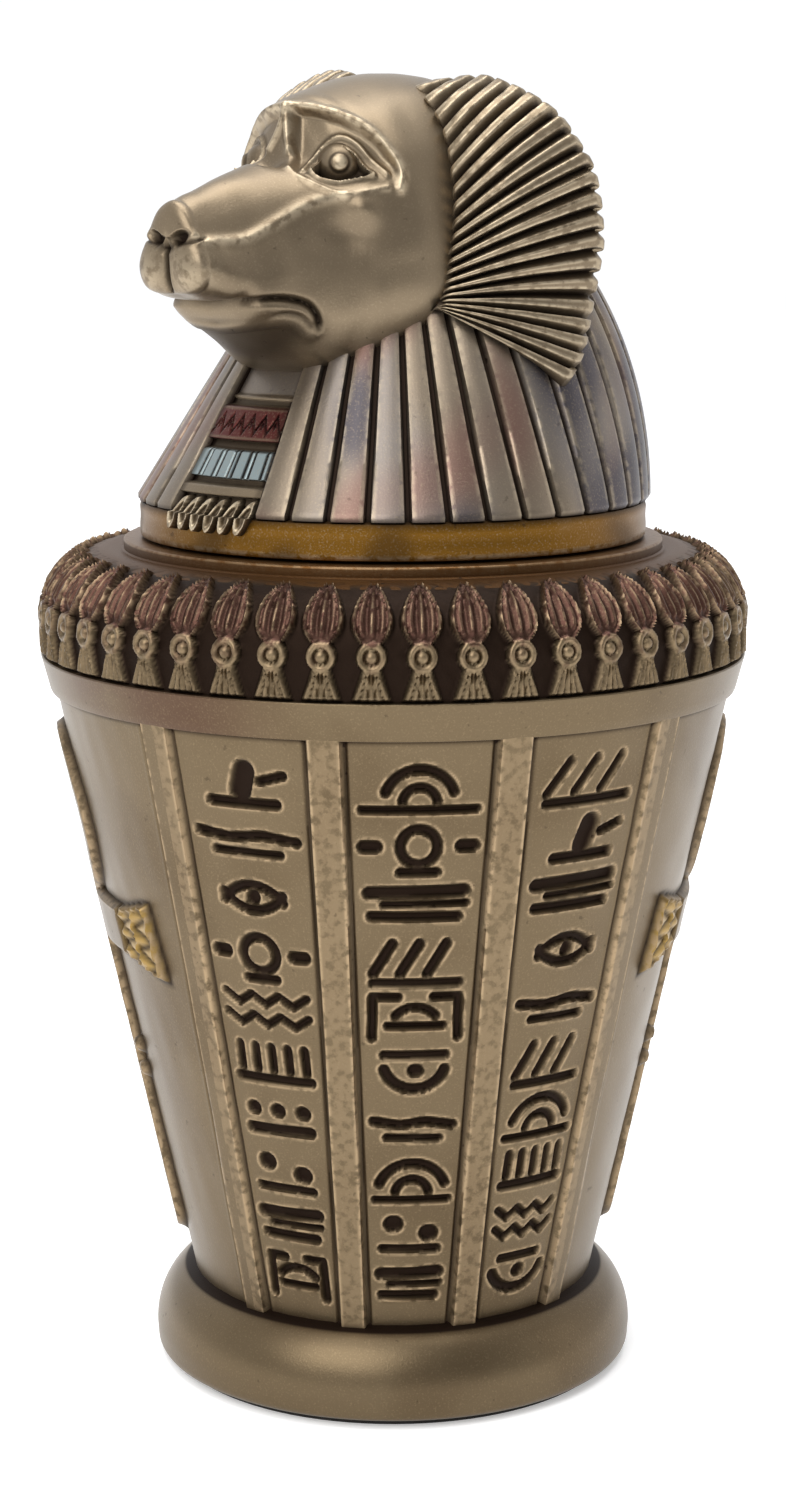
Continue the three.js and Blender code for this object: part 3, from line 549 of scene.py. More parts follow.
# %% Felt pad
felt_disc = turned("felt_disc", [
    (0, pad_low[2]), (pad_high[0] - 0.1, pad_low[2]), (pad_high[0], pad_low[2] + 0.15),
    (pad_high[0], pad_high[2] - 0.15), (pad_high[0] - 0.1, pad_high[2]), (0, pad_high[2])], 96)

# %% [markdown]
# ## The lid's base and headcloth
# The lid is modelled looking along -Y and then turned, because its head faces to the left of
# the jar's front. A plug sits in the jar's mouth under a flat gilt band. Above the band rises
# the striped headcloth: in front it slopes like a cone, behind it is a dome, and the two are
# blended by the angle. Each stripe ends in a narrow cut groove.

# %% Lid frame, plug and band
LID_TURN = -48
PLUG_R, PLUG_LOW = 25.7, lid_low[2]
LID_BAND_R, LID_BAND_LOW, LID_BAND_TOP = 31.0, FLANGE_TOP + 0.3, 109.2


def ahead(forward, side, z):
    """A point of the lid from how far it lies forward, to the side and up, before the turn."""
    return np.stack(np.broadcast_arrays(side, -np.asarray(forward, float), z), axis=-1)


def turn_lid(points):
    """Points turned about Z by the lid's angle: the facing direction goes to LID_TURN."""
    t = math.radians(LID_TURN)
    x, y, z = (points[..., i] for i in range(3))
    return np.stack([x * math.cos(t) - y * math.sin(t), x * math.sin(t) + y * math.cos(t), z], axis=-1)


def band_edge(points):
    """Worn metal from 0 to 1 along the band's lower edge."""
    z = points[:, 2]
    return 0.4 * smooth(0.4, 0.0, np.abs(z - LID_BAND_LOW - 0.35)) * (z > LID_BAND_LOW - 0.2)


def band_grime(points):
    """Dirt from 0 to 1: the corner under the cloth, and soft clouds over the whole band."""
    corner = smooth(LID_BAND_TOP - 0.7, LID_BAND_TOP, points[:, 2])
    return np.clip(corner + 0.45 * smooth(0.1, 0.9, ripple(points, 11.0, 31)), 0, 1)


lid_band = turned("lid_band", [
    (0, PLUG_LOW), (PLUG_R - 1.0, PLUG_LOW), (PLUG_R, PLUG_LOW + 1.0), (PLUG_R, LID_BAND_LOW),
    (LID_BAND_R - 0.4, LID_BAND_LOW), (LID_BAND_R - 0.1, LID_BAND_LOW + 0.12),
    (LID_BAND_R, LID_BAND_LOW + 0.4),
    *[(LID_BAND_R + 0.04 * math.sin(k), LID_BAND_LOW + 0.4 + k * 0.45) for k in range(1, 8)],
    (LID_BAND_R - 0.15, LID_BAND_TOP - 0.25), (LID_BAND_R - 1.0, LID_BAND_TOP + 0.1),
    (0, LID_BAND_TOP + 0.1),
], 192, {"gold": lambda points: points[:, 2] > LID_BAND_LOW - 0.01,
         "worn": band_edge, "grime": band_grime})

# %% Headcloth
HEM_R, CLOTH_TOP, DOME_HEIGHT, CLOTH_SLOPE = 31.4, 147.0, 41.4, 0.63
APRON_HALF, STRIPES, CLOTH_ROWS = 12.5, 39, 74
GROOVE_DEPTH, GROOVE_HALF, PILLOW, HEM_DROP = 0.85, 0.32, 0.16, 0.35


def cloth_radius(angle, z):
    """Radius of the headcloth: a slope in front and a dome behind, blended between 46 and 129
    degrees from the facing direction."""
    up = z - LID_BAND_TOP
    slope = HEM_R - CLOTH_SLOPE * up
    dome = HEM_R * np.sqrt(np.clip(1 - (up / DOME_HEIGHT) ** 2, 0.02, 1))
    t = smooth(46, 129, np.abs(angle))
    return slope + (dome - slope) * t


def cloth_patches(angle, z):
    """Which of the cloth's metal washes lies where, from 0 to 1: silver, copper pink and a
    blue-grey wash, each a soft cloud that also changes from stripe to stripe. The blue-grey also
    grows strongly towards the sides and back, which is painted shade on the cloth's flanks."""
    flat = polar(HEM_R, angle, z)
    stripe = np.floor((np.abs(angle) - APRON_HALF) / ((180 - APRON_HALF) * 2 / STRIPES))
    jitter = 0.25 * np.sin(stripe * 2.4)
    silver = 0.35 + 0.65 * smooth(-0.4, 0.5, ripple(flat, 26.0, 21) + jitter)
    copper = smooth(-0.1, 0.7, ripple(flat, 22.0, 22) - jitter)
    # The blue-grey wash is made much stronger towards the sides and back: painted shade on the cloth's
    # flanks.
    slate = 0.95 * smooth(0.0, 0.8, ripple(flat, 18.0, 23) + 1.0 * smooth(70, 100, np.abs(angle)) - 0.3)
    return silver, copper, slate


pitch = (360 - 2 * APRON_HALF) / STRIPES
inside = np.array([0, 0.04, 0.07, 0.10, 0.14, 0.24, 0.36, 0.5, 0.64, 0.76, 0.86, 0.90, 0.93, 0.96])
angles = np.concatenate([APRON_HALF + pitch * (k + inside) for k in range(STRIPES)] + [[360 - APRON_HALF]])
angle, z = np.meshgrid(np.where(angles > 180, angles - 360, angles),
                       np.linspace(LID_BAND_TOP, CLOTH_TOP, CLOTH_ROWS))
within = np.mod(np.mod(angle, 360) - APRON_HALF, pitch) / pitch
within = np.minimum(within, 1 - within)
radius = cloth_radius(angle, z)
from_groove = within * np.radians(pitch) * radius
groove_half = np.minimum(GROOVE_HALF, 0.1 * np.radians(pitch) * radius)
groove = smooth(groove_half + 0.18, groove_half - 0.12, from_groove)
pillow = PILLOW * smooth(0, 2.0, from_groove)
hem = smooth(LID_BAND_TOP + 0.5, LID_BAND_TOP, z)
radius = radius - GROOVE_DEPTH * groove + pillow - HEM_DROP * hem
outer = polar(radius, angle, z)
back = polar(np.full_like(angle[:1], 20), angle[:1], z[:1])
top = polar(np.maximum(radius[-1:] - 3, 1), angle[-1:], z[-1:] + 0.01)
silver, copper, slate = cloth_patches(angle, z)
values = {
    "grime": np.clip(1.1 * groove + 0.8 * hem, 0, 1),
    "worn": hump(from_groove - groove_half - 0.25, 0.2) * 0.4,
    "silver": silver, "copper": copper, "slate": slate,
}
headcloth = slab("headcloth", turn_lid(np.concatenate([back, outer, top])), values, 40)

# %% [markdown]
# ## The apron
# In front the headcloth leaves a sector that is set back by about a millimetre. It carries a
# plain silvery neck, a red band with a cut zigzag, a blue band with pairs of black bars and a
# raised bead, and below them a row of leaning loops that hang over the gilt band.

# %% Apron
APRON_SET = 1.1
RED_BAND, BLUE_BAND, BEAD, NECK_RIM = (117.4, 121.3), (113.2, 116.4), (111.3, 112.5), (122.0, 122.5)
ZIGZAG_LOW, DIAMOND_MIDDLE, ZIGZAG_REPEATS, BAR_PAIRS = 118.3, 119.2, 3.0, 2.4


def apron_relief(x, z, half):
    """Height over the sunk apron ground, with red, blue, black and grime from 0 to 1. x is mm
    across, half is the sector's half width at that height."""
    t = x / half
    shape = {key: np.zeros_like(z) for key in ("height", "red", "blue", "black", "grime", "silver")}

    def raised(span, lift):
        """A raised band: lift between the two heights of span, with edges 0.35 mm wide."""
        low, high = span
        return lift * smooth(low - 0.15, low + 0.2, z) * smooth(high + 0.15, high - 0.2, z)

    red, blue, bead, rim = (raised(*band) for band in (
        (RED_BAND, 1.0), (BLUE_BAND, 0.75), (BEAD, 1.0), (NECK_RIM, 0.3)))
    fold = np.abs(np.mod(t * ZIGZAG_REPEATS + 0.5, 1) - 0.5) * 2
    zig = np.abs((z - ZIGZAG_LOW) - 2.0 * fold)
    to_diamond = np.abs(np.mod(t * ZIGZAG_REPEATS, 1) - 0.5) * half / ZIGZAG_REPEATS
    diamond = np.abs(z - DIAMOND_MIDDLE) + 2.2 * to_diamond
    cut = np.maximum(smooth(0.42, 0.2, zig), smooth(0.6, 0.35, diamond)) * (red > 0.9)
    edge_line = smooth(0.2, 0.05, np.minimum(np.abs(z - 121.0), np.abs(z - 117.75))) * (red > 0.5)
    bars = np.abs(np.mod(t * BAR_PAIRS + 0.25, 1) - 0.5)
    bar = smooth(0.09, 0.06, np.abs(bars - 0.15)) * (blue > 0.5)
    shape["height"] = red + blue + bead + rim - 0.35 * cut - 0.2 * bar
    shape["red"] = smooth(0.2, 0.6, red) * (1 - 0.45 * edge_line)
    shape["blue"] = smooth(0.2, 0.6, blue)
    shape["black"] = np.clip(bar + 0.9 * cut, 0, 1)
    shape["silver"] = smooth(122, 123, z) * 0.8
    gaps = (1 - smooth(0.05, 0.4, shape["height"])) * (z < 122)
    shape["grime"] = np.clip(0.75 * gaps + 0.5 * smooth(0.85, 1.0, np.abs(t)), 0, 1)
    return shape


angle, z = np.meshgrid(np.linspace(-APRON_HALF - 0.6, APRON_HALF + 0.6, 110),
                       np.linspace(110.4, 128.5, 160))
ground = cloth_radius(angle, z) - APRON_SET
half = math.radians(APRON_HALF) * ground
parts = apron_relief(np.radians(angle) * ground, z, half)
outer = polar(ground + parts.pop("height"), angle, z)
back = polar(ground[[0, -1]] - 3, angle[[0, -1]], z[[0, -1]])
apron = slab("apron", turn_lid(np.concatenate([back[:1], outer, back[1:]])), parts, 50)

# %% Loops over the gilt band
LOOPS, LOOPS_LOW, LOOPS_HIGH, LOOP_MIDDLE, LOOP_LEAN = 6, 106.4, 111.5, 109.1, 0.35

angle, z = np.meshgrid(np.linspace(-APRON_HALF, APRON_HALF, 180), np.linspace(LOOPS_LOW, LOOPS_HIGH, 60))
ground = np.where(z > LID_BAND_TOP, cloth_radius(angle, z) - APRON_SET, LID_BAND_R - 0.1)
ground = ground - 0.9 * smooth(LOOPS_LOW + 0.5, LOOPS_LOW, z)
x = np.radians(angle) * LID_BAND_R
width = 2 * math.radians(APRON_HALF) * LID_BAND_R / LOOPS
lean = (z - 109.0) * LOOP_LEAN
across = (np.mod((x - lean) / width + LOOPS / 2, 1) - 0.5) * width
loop = np.hypot(across / 0.82, (z - LOOP_MIDDLE) / 2.0)
ring = smooth(1.08, 0.92, loop) * (0.55 + 0.5 * smooth(0.35, 0.75, loop))
height = 1.35 * ring * (np.abs(x) < width * LOOPS / 2 - 0.1)
outer = polar(ground + height - 0.25, angle, z)
back = polar(ground[[0, -1]] - 2.5, angle[[0, -1]], z[[0, -1]])
values = {"grime": np.clip(1.25 - height, 0, 1), "worn": smooth(1.1, 1.3, height)}
apron_loops = slab("apron_loops", turn_lid(np.concatenate([back[:1], outer, back[1:]])), values, 50)

# %% [markdown]
# ## The head
# The head is one closed surface that runs along the direction it faces. At each station half of
# its outline is given by nine points from the crown down to the chin: a row of how far out they
# lie, and a row of how high. The same nine follow the bridge of the nose, the brow, the eye
# level, the cheekbone, the cheek or lip, the mouth, the jaw and the chin. Smooth curves through
# them give the plain form, and the far side is its mirror.

# %% Form of the head
STATIONS = {
    -12.5: ((0, 3.2, 6.4, 9.3, 10.8, 10.8, 9.6, 5.6, 0),
            (155.2, 154.6, 152.8, 149.4, 145, 140.4, 136, 131, 129.4)),
    -6: ((0, 4.4, 8.7, 12.6, 14.4, 14.6, 13.4, 8, 0),
         (158.7, 158, 155.6, 151, 145.4, 139.6, 134, 127.4, 125.4)),
    2: ((0, 4.7, 9.3, 13.4, 15.4, 15.9, 15.2, 9.5, 0),
        (159.8, 159.1, 156.7, 151.6, 145.4, 139, 133, 125.2, 123)),
    8: ((0, 4.6, 9, 13.2, 15.2, 15.9, 15.3, 9.5, 0),
        (159.2, 158.3, 155.9, 151, 145, 138.8, 132.4, 124.8, 122.6)),
    12: ((0, 4.5, 9, 12.6, 14.4, 15.1, 14.5, 9, 0),
         (158.2, 157.2, 154.6, 150, 144.4, 138.6, 132.2, 125, 123.2)),
    14: ((0, 4.4, 8.6, 11.6, 13.4, 14.2, 13.7, 8.6, 0),
         (157.6, 156.6, 153.9, 149.4, 144.2, 138.4, 132, 125.2, 123.6)),
    16: ((0, 4.2, 7.6, 10.4, 12.2, 13.1, 12.8, 7.9, 0),
         (156.9, 155.9, 153, 148.8, 143.9, 138, 131.8, 125.4, 124.2)),
    17: ((0, 3.4, 6.9, 9.9, 11.5, 12.4, 12.1, 7.5, 0),
         (156.4, 155.2, 152, 148.1, 143.6, 137.8, 131.6, 125.6, 124.5)),
    17.8: ((0, 2.6, 6.1, 9.4, 10.9, 11.9, 11.6, 7.2, 0),
           (155.6, 153.4, 150.7, 147.5, 143.3, 137.6, 131.4, 125.8, 124.7)),
    18.5: ((0, 2.6, 5.9, 9.1, 10.5, 11.5, 11.2, 7, 0),
           (153, 151.3, 149.8, 146.9, 142.9, 137.4, 131.2, 125.9, 124.9)),
    19.2: ((0, 2.8, 5.9, 8.8, 10.2, 11.1, 10.8, 6.8, 0),
           (150.7, 150.3, 149.1, 146.5, 142.4, 137.2, 131, 126, 125)),
    24: ((0, 2.7, 5, 6.9, 8.2, 9.1, 8.7, 5.4, 0),
         (149, 148.3, 146.7, 144.2, 140.6, 136.4, 131.9, 128.4, 127.3)),
    27.4: ((0, 2.4, 4.4, 6, 7.4, 8.3, 7.8, 4.9, 0),
           (147.9, 147.2, 145.3, 142.6, 139.4, 136.2, 132.6, 130.4, 129.7)),
    29.2: ((0, 2.2, 4, 5.5, 6.8, 7.7, 7.2, 4.5, 0),
           (147.3, 146.6, 144.5, 141.6, 138.8, 136, 133.2, 131.6, 131.2)),
    30.6: ((0, 2.1, 3.8, 5.2, 6.5, 7.2, 6.5, 3.8, 0),
           (146.8, 146, 143.9, 141.1, 138.6, 136.2, 134.3, 133.7, 133.6)),
    32.4: ((0, 1.9, 3.5, 4.8, 6.1, 6.7, 6, 3.6, 0),
           (146.1, 145.4, 143.4, 140.8, 138.6, 136.5, 134.5, 133.9, 133.8)),
    34: ((0, 1.8, 3.3, 4.4, 5.6, 6, 5.1, 2.8, 0),
         (145.6, 144.9, 143, 140.9, 138.9, 136.9, 134.9, 134.2, 134.1)),
    35.2: ((0, 1.8, 3.2, 4, 5.1, 5.4, 4.5, 2.5, 0),
           (145.1, 144.4, 142.7, 140.8, 138.9, 137.2, 135.4, 134.7, 134.6)),
}
NOSE_TIP, NOSE_MIDDLE, BACK_TIP, BACK_MIDDLE = 37.0, 141.0, -16.5, 143.0

half_knots = np.concatenate([np.linspace(0, 6, 121)[:-1], np.linspace(6, 8, 25)])
around = np.concatenate([half_knots, 16 - half_knots[-2:0:-1]])
along = np.concatenate([np.linspace(-12.5, 6, 26)[:-1], np.linspace(6, 12, 26)[:-1],
                        np.linspace(12, 20, 76)[:-1], np.linspace(20, 35.2, 80)])
outlines = np.array(list(STATIONS.values())).transpose(0, 2, 1)
rings = np.concatenate([outlines, outlines[:, -2:0:-1] * [-1, 1]], axis=1)
looped = np.concatenate([rings[:, -3:], rings, rings[:, :4]], axis=1).transpose(1, 0, 2)
columns = spline(np.arange(-3, 20), looped.reshape(23, -1), around).reshape(len(around), len(STATIONS), 2)
sections = spline(list(STATIONS), columns.transpose(1, 0, 2).reshape(len(STATIONS), -1), along)
sections = sections.reshape(len(along), len(around), 2)


def closing(section, middle, start, tip, power, steps):
    """Sections that shrink to a point on the axis: the size is (1 - t^n)^(1/n) as the place goes
    from start to just before the tip, with n the power, so a larger n gives a blunter end."""
    t = np.sin(np.linspace(0, np.pi / 2, steps + 1)[1:-1])
    size = (1 - t**power) ** (1 / power)
    centre = np.array([0, middle])
    return start + (tip - start) * t, centre + size[:, None, None] * (section - centre)


front_f, front = closing(sections[-1], NOSE_MIDDLE, along[-1], NOSE_TIP, 3.2, 26)
back_f, back = closing(sections[0], BACK_MIDDLE, along[0], BACK_TIP, 2.0, 12)
stations = np.concatenate([back_f[::-1], along, front_f])
sections = np.concatenate([back[::-1], sections, front])
forward = np.broadcast_to(stations[:, None, None], (*sections.shape[:2], 1))
head_grid = np.concatenate([forward, sections], axis=-1)
print("head grid", head_grid.shape[:2])

# %% [markdown]
# ## Carving the face
# The features are carved into that form along its own outward normal. Each one is a short curve
# in space, and its depth or height falls off with the distance from it: brow, lids, edges of the
# nose's bridge, mouth and lip. The side is measured without its sign, so both halves match.

# %% Curves of the face
def normals_of(grid):
    """Unit normals of a grid that wraps in its columns: the cross product of the steps along the
    rows and along the columns."""
    down = np.gradient(grid, axis=0)
    across = (np.roll(grid, -1, axis=1) - np.roll(grid, 1, axis=1)) / 2
    normal = np.cross(down, across)
    return normal / np.maximum(np.linalg.norm(normal, axis=-1, keepdims=True), 1e-9)


def distance_to_curve(points, knots, steps=40):
    """Distance from points (..., 3) to a smooth curve through a few knots, by its short chords."""
    curve = spline(np.arange(len(knots)), knots, np.linspace(0, len(knots) - 1, steps))
    nearest = np.full(points.shape[:-1], 1e3)
    for start, end in zip(curve[:-1], curve[1:]):
        run = end - start
        t = np.clip((points - start) @ run / (run @ run), 0, 1)
        nearest = np.minimum(nearest, np.linalg.norm(points - start - t[..., None] * run, axis=-1))
    return nearest


EYE = np.array([17.5, 8.2, 149.3])
CHEEKBONE, CHEEK_HOLLOW = (17.0, 11.4, 144.1), (19.4, 10.5, 140.9)
BROW = [(17.8, 0.0, 155.7), (17.3, 1.6, 155.7), (16.7, 3.9, 155.4), (15.6, 6.4, 154.7),
        (14.3, 8.6, 153.6), (13.4, 10.5, 152.0), (12.7, 12.3, 149.8), (12.4, 13.2, 148.0),
        (12.9, 13.5, 146.3)]
CREST = [(17.8, 0.0, 155.7), (18.3, 0.4, 153.8), (18.6, 0.9, 152.3), (19.1, 1.6, 150.7)]
UPPER_CREASE = [(20.4, 5.1, 148.6), (18.9, 4.6, 150.0), (17.5, 5.6, 151.7), (16.5, 7.3, 152.6),
                (15.5, 9.1, 151.7), (14.8, 10.8, 149.9), (13.8, 12.4, 148.0)]
UPPER_LID = [(20.0, 6.1, 148.3), (18.8, 5.9, 149.5), (17.7, 6.4, 150.8), (16.8, 7.9, 151.3),
             (16.2, 9.3, 150.5), (15.7, 10.5, 148.9), (15.3, 11.4, 147.9)]
LOWER_LID = [(20.0, 6.1, 148.2), (19.8, 7.4, 147.5), (18.5, 9.0, 147.1), (17.0, 10.2, 147.4),
             (15.3, 11.4, 147.9)]
EYE_BAG = [(21.2, 3.7, 148.7), (21.3, 6.1, 147.4), (20.0, 8.4, 146.2), (18.5, 9.7, 145.6),
           (16.2, 11.4, 145.9), (14.1, 12.7, 146.3)]
BRIDGE = [(18.5, 9.8, 145.4), (20.4, 8.7, 145.2), (23.1, 7.5, 144.1), (27.3, 6.4, 141.9),
          (30.0, 5.6, 140.7), (32.7, 4.9, 140.5), (35.0, 4.3, 140.4), (36.1, 3.8, 141.2)]
MOUTH = [(30.8, 0.0, 133.7), (30.8, 4.8, 133.8), (28.9, 7.7, 134.0), (26.3, 8.5, 134.0),
         (23.8, 9.2, 133.4), (22.5, 9.5, 132.2), (21.9, 9.3, 130.9)]
LIP_EDGE = [(29.2, 0.0, 131.4), (29.0, 4.0, 131.8), (28.2, 6.4, 132.2), (26.5, 8.0, 132.4),
            (24.4, 8.6, 132.0), (22.7, 8.8, 130.8)]
FEATURES = {"brow": BROW, "crest": CREST, "crease": UPPER_CREASE, "upper": UPPER_LID, "lower": LOWER_LID,
            "bag": EYE_BAG, "bridge": BRIDGE, "mouth": MOUTH, "lip": LIP_EDGE}
half = np.concatenate([head_grid[..., :1], np.abs(head_grid[..., 1:2]), head_grid[..., 2:]], axis=-1)
away = {name: distance_to_curve(half, curve) for name, curve in FEATURES.items()}
print({name: round(float(distance.min()), 2) for name, distance in away.items()})

# %% Depths of the face
FACE_TURN, FACE_TILT = math.radians(43.65), math.radians(10.6)


def on_drawing(points):
    """Across and up on a plane that looks at the near half of the face, 44 degrees off the way
    the nose points and a little from above; the eye's outline is plainest there."""
    forward, side, z = points[..., 0], points[..., 1], points[..., 2]
    across = -math.sin(FACE_TURN) * forward + math.cos(FACE_TURN) * side
    near = math.cos(FACE_TURN) * forward + math.sin(FACE_TURN) * side
    return across, math.cos(FACE_TILT) * z - math.sin(FACE_TILT) * near


def drawn(curve, across):
    """Height on the drawing of a curve, read at a place across it."""
    x, y = on_drawing(np.array(curve, float))
    keep = np.concatenate([[True], np.diff(x) > 0])
    return np.interp(across, x[keep], y[keep])


across, up = on_drawing(half)
forward, side, z = (half[..., i] for i in range(3))
facing = smooth(9, 11, forward)
corner_in, corner_out = (on_drawing(np.array(UPPER_LID[i]))[0] for i in (0, -1))
lid_gap = np.minimum(drawn(UPPER_LID, across) - up, up - drawn(LOWER_LID, across))
opening = smooth(0.0, 0.35, lid_gap) * (across > corner_in) * (across < corner_out)
opening = opening * facing * smooth(21.5, 20.8, forward)
below_brow = drawn(BROW, across) - up
brow_in, brow_out = (on_drawing(np.array(BROW[i]))[0] for i in (0, -2))
above_lid = up - drawn(LOWER_LID, across)
socket = (smooth(-0.1, 1.0, below_brow) * smooth(-1.2, 2.5, above_lid) * facing
          * smooth(brow_in + 0.2, brow_in + 1.4, across) * smooth(brow_out + 0.1, brow_out - 1.0, across))
crest = hump(away["crest"], 0.5)
nostril = np.hypot((side - 1.9) / 1.35, (z - 140.9 - 0.25 * (side - 1.9)) / 0.75)
nostril = smooth(1.25, 0.5, nostril) * smooth(34.8, 35.4, forward)
slit = hump(side, 0.32) * smooth(134.6, 135.4, z) * smooth(141.0, 140.0, z) * smooth(34, 34.8, forward)
pad_edge = hump(z - 139.6 - 0.25 * side, 0.3) * (side < 4.2) * smooth(34.4, 35.2, forward)
lobe = hump(np.hypot(side - 3.1, z - 137.0), 2.2) * smooth(32, 35, forward)
below_mouth = smooth(0.4, 1.0, away["mouth"]) * smooth(2.1, 1.6, away["lip"])
below_mouth = below_mouth * (z < 133.9) * smooth(20.8, 22.4, forward)
cheekbone = np.linalg.norm(half - CHEEKBONE, axis=-1)
hollow = np.linalg.norm(half - CHEEK_HOLLOW, axis=-1)
depth = (0.42 * hump(away["brow"], 0.6) - 1.15 * socket + 0.5 * crest + 0.42 * hump(away["crease"], 0.32)
         + 0.5 * hump(away["upper"], 0.34) + 0.48 * hump(away["lower"], 0.34) - 1.15 * opening
         + 0.28 * hump(away["bag"], 0.4) + 0.3 * hump(away["bridge"], 0.75)
         + 1.1 * hump(cheekbone, 2.2) - 0.7 * hump(hollow, 2.8)
         - 1.2 * nostril - 0.85 * slit - 0.35 * pad_edge + 0.4 * lobe
         - 0.8 * hump(away["mouth"], 0.34) + 0.3 * below_mouth - 0.25 * hump(away["lip"], 0.3))
normals = normals_of(head_grid)
surface = head_grid + depth[..., None] * normals
surface = surface + 0.03 * ripple(head_grid, 4.0, 31)[..., None] * normals
tips = np.array([[BACK_TIP, 0, BACK_MIDDLE], [NOSE_TIP - 0.05, 0, NOSE_MIDDLE]])
points = np.concatenate([surface.reshape(-1, 3), tips])
cloth = cloth_radius(np.degrees(np.arctan2(side, forward)), z)
neck = smooth(2.5, 0.0, np.abs(np.hypot(forward, side) - cloth)) * (z < 134)
# Painted shade: the underside of the jaw, which faces down, is darkened.
under_jaw_shade = smooth(133.4, 130, z) * smooth(20, 25, forward) * smooth(0.5, 1.2, away["lip"]) * (z < 132)
# Dark wash in the eyes, mouth, nose and creases, a darker band where the head meets the cloth, and painted
# shade under the jaw.
grime = (0.9 * opening + 0.9 * hump(away["mouth"], 0.42) + nostril + 0.95 * hump(side, 0.4) * (slit > 0.05)
         + 0.8 * pad_edge + 0.55 * hump(away["lip"], 0.3) + 0.5 * hump(away["crease"] - 0.5, 0.25) * socket
         + 0.45 * hump(away["lower"] - 0.45, 0.2) + 0.35 * neck + 0.7 * under_jaw_shade)
# Rubbed metal and painted highlight along the brow, the crest, the lids, the crease, the eye bag, the
# bridge of the nose and the lip lobes.
worn = (hump(away["brow"], 0.6) + 0.8 * crest + 0.75 * hump(away["upper"], 0.3)
        + 0.7 * hump(away["lower"], 0.3) + 0.8 * hump(away["bridge"], 0.55) + 0.5 * hump(away["bag"], 0.4)
        + 0.6 * lobe + 0.5 * hump(away["crease"], 0.3))
values = {key: np.append(np.clip(value, 0, 1).ravel(), [0, 0])
          for key, value in (("grime", grime), ("worn", worn))}
faces = turned_over(closed_tube(*surface.shape[:2]))
head = add_mesh("head", turn_lid(ahead(*points.T)), faces, values, 60)

# %% Eyes
EYE_BEHIND = np.array([2.2, 2.1, 0.35])


def ball(name, centre, axis, radius, boss, boss_radius):
    """A ball whose pole looks along the axis and carries a low round boss. The radius grows by
    the boss within boss_radius of the axis."""
    axis = axis / np.linalg.norm(axis)
    right = np.cross([0, 0, 1.0], axis)
    right /= np.linalg.norm(right)
    over = np.cross(axis, right)
    tilt = np.linspace(0, np.pi, 42)[1:-1, None, None]
    turn = (np.arange(64) * 2 * np.pi / 64)[None, :, None]
    off_axis = radius * np.sin(tilt)
    swell = radius + boss * smooth(boss_radius * 1.15, boss_radius * 0.8, off_axis) * (tilt < np.pi / 2)
    unit = np.cos(tilt) * axis + np.sin(tilt) * (np.cos(turn) * right + np.sin(turn) * over)
    poles = [centre + (radius + boss) * axis, centre - radius * axis]
    points = np.concatenate([(centre + swell * unit).reshape(-1, 3), poles])
    rows, columns = unit.shape[:2]
    off_axis = np.append(np.repeat(off_axis.ravel(), columns), [0, radius])
    ring, corner = hump(off_axis - boss_radius * 1.1, 0.2), smooth(boss_radius * 1.3, radius, off_axis)
    values = {"grime": ring * 0.8 + 0.5 * corner,
              "worn": smooth(boss_radius * 0.9, boss_radius * 0.5, off_axis)}
    return add_mesh(name, points, turned_over(closed_tube(rows, columns)), values, 60)


eyes = []
for name, sign in (("eye_left", -1), ("eye_right", 1)):
    centre = turn_lid(ahead(*((EYE - EYE_BEHIND) * [1, sign, 1])))
    look = turn_lid(ahead(math.cos(FACE_TURN), sign * math.sin(FACE_TURN), 0.12))
    eyes.append(ball(name, centre, look, 2.7, 0.3, 1.0))

# %% [markdown]
# ## The mane
# A fan of ribs stands behind each cheek. Its face is stretched between two curves in space: the
# root beside the head and the rim. Ribs run across it from root to rim and end in small steps
# over a rolled edge; the back of the fan is plain.

# %% Manes
MANE_ROOT = [(3.0, 5.5, 158.4), (4.3, 8.0, 157.2), (5.4, 11.3, 154.4), (5.9, 13.0, 151.9),
             (6.8, 14.8, 147.0), (7.4, 15.4, 142.1), (8.2, 15.3, 138.3), (8.8, 15.2, 135.1),
             (10.1, 15.9, 132.9)]
MANE_RIM = [(0.0, 6.9, 159.0), (-2.0, 12.2, 159.5), (-2.1, 16.8, 158.4), (-2.3, 20.8, 156.8),
            (-3.0, 23.4, 154.8), (-4.0, 25.2, 152.0), (-5.0, 26.6, 149.1), (-6.0, 26.7, 145.9),
            (-7.0, 26.5, 141.3), (-7.5, 25.5, 137.0), (-7.0, 25.0, 133.2), (-4.8, 26.2, 130.1),
            (-2.7, 27.2, 127.4), (0.2, 27.6, 124.3)]
MANE_RIBS, RIB_COLUMNS, FACE_ROWS, ROLL_ROWS, REAR_ROWS = 21, 13, 46, 8, 11
RIB_DEPTH, EDGE_ROLL, EDGE_IN = 1.15, 2.6, 0.9
BULGE_WAY, BEHIND, BACK_ROOT = np.array([[0.75, 0.6, 0.15], [-0.78, 0.0, -0.12], [-6.0, -3.0, -0.5]])


def by_length(knots, shares):
    """Points at the given shares of the length of the smooth curve through the knots."""
    fine = spline(np.arange(len(knots)), np.array(knots, float), np.linspace(0, len(knots) - 1, 600))
    length = np.concatenate([[0], np.cumsum(np.linalg.norm(np.diff(fine, axis=0), axis=1))])
    return np.stack([np.interp(shares * length[-1], length, fine[:, i]) for i in range(3)], axis=-1)


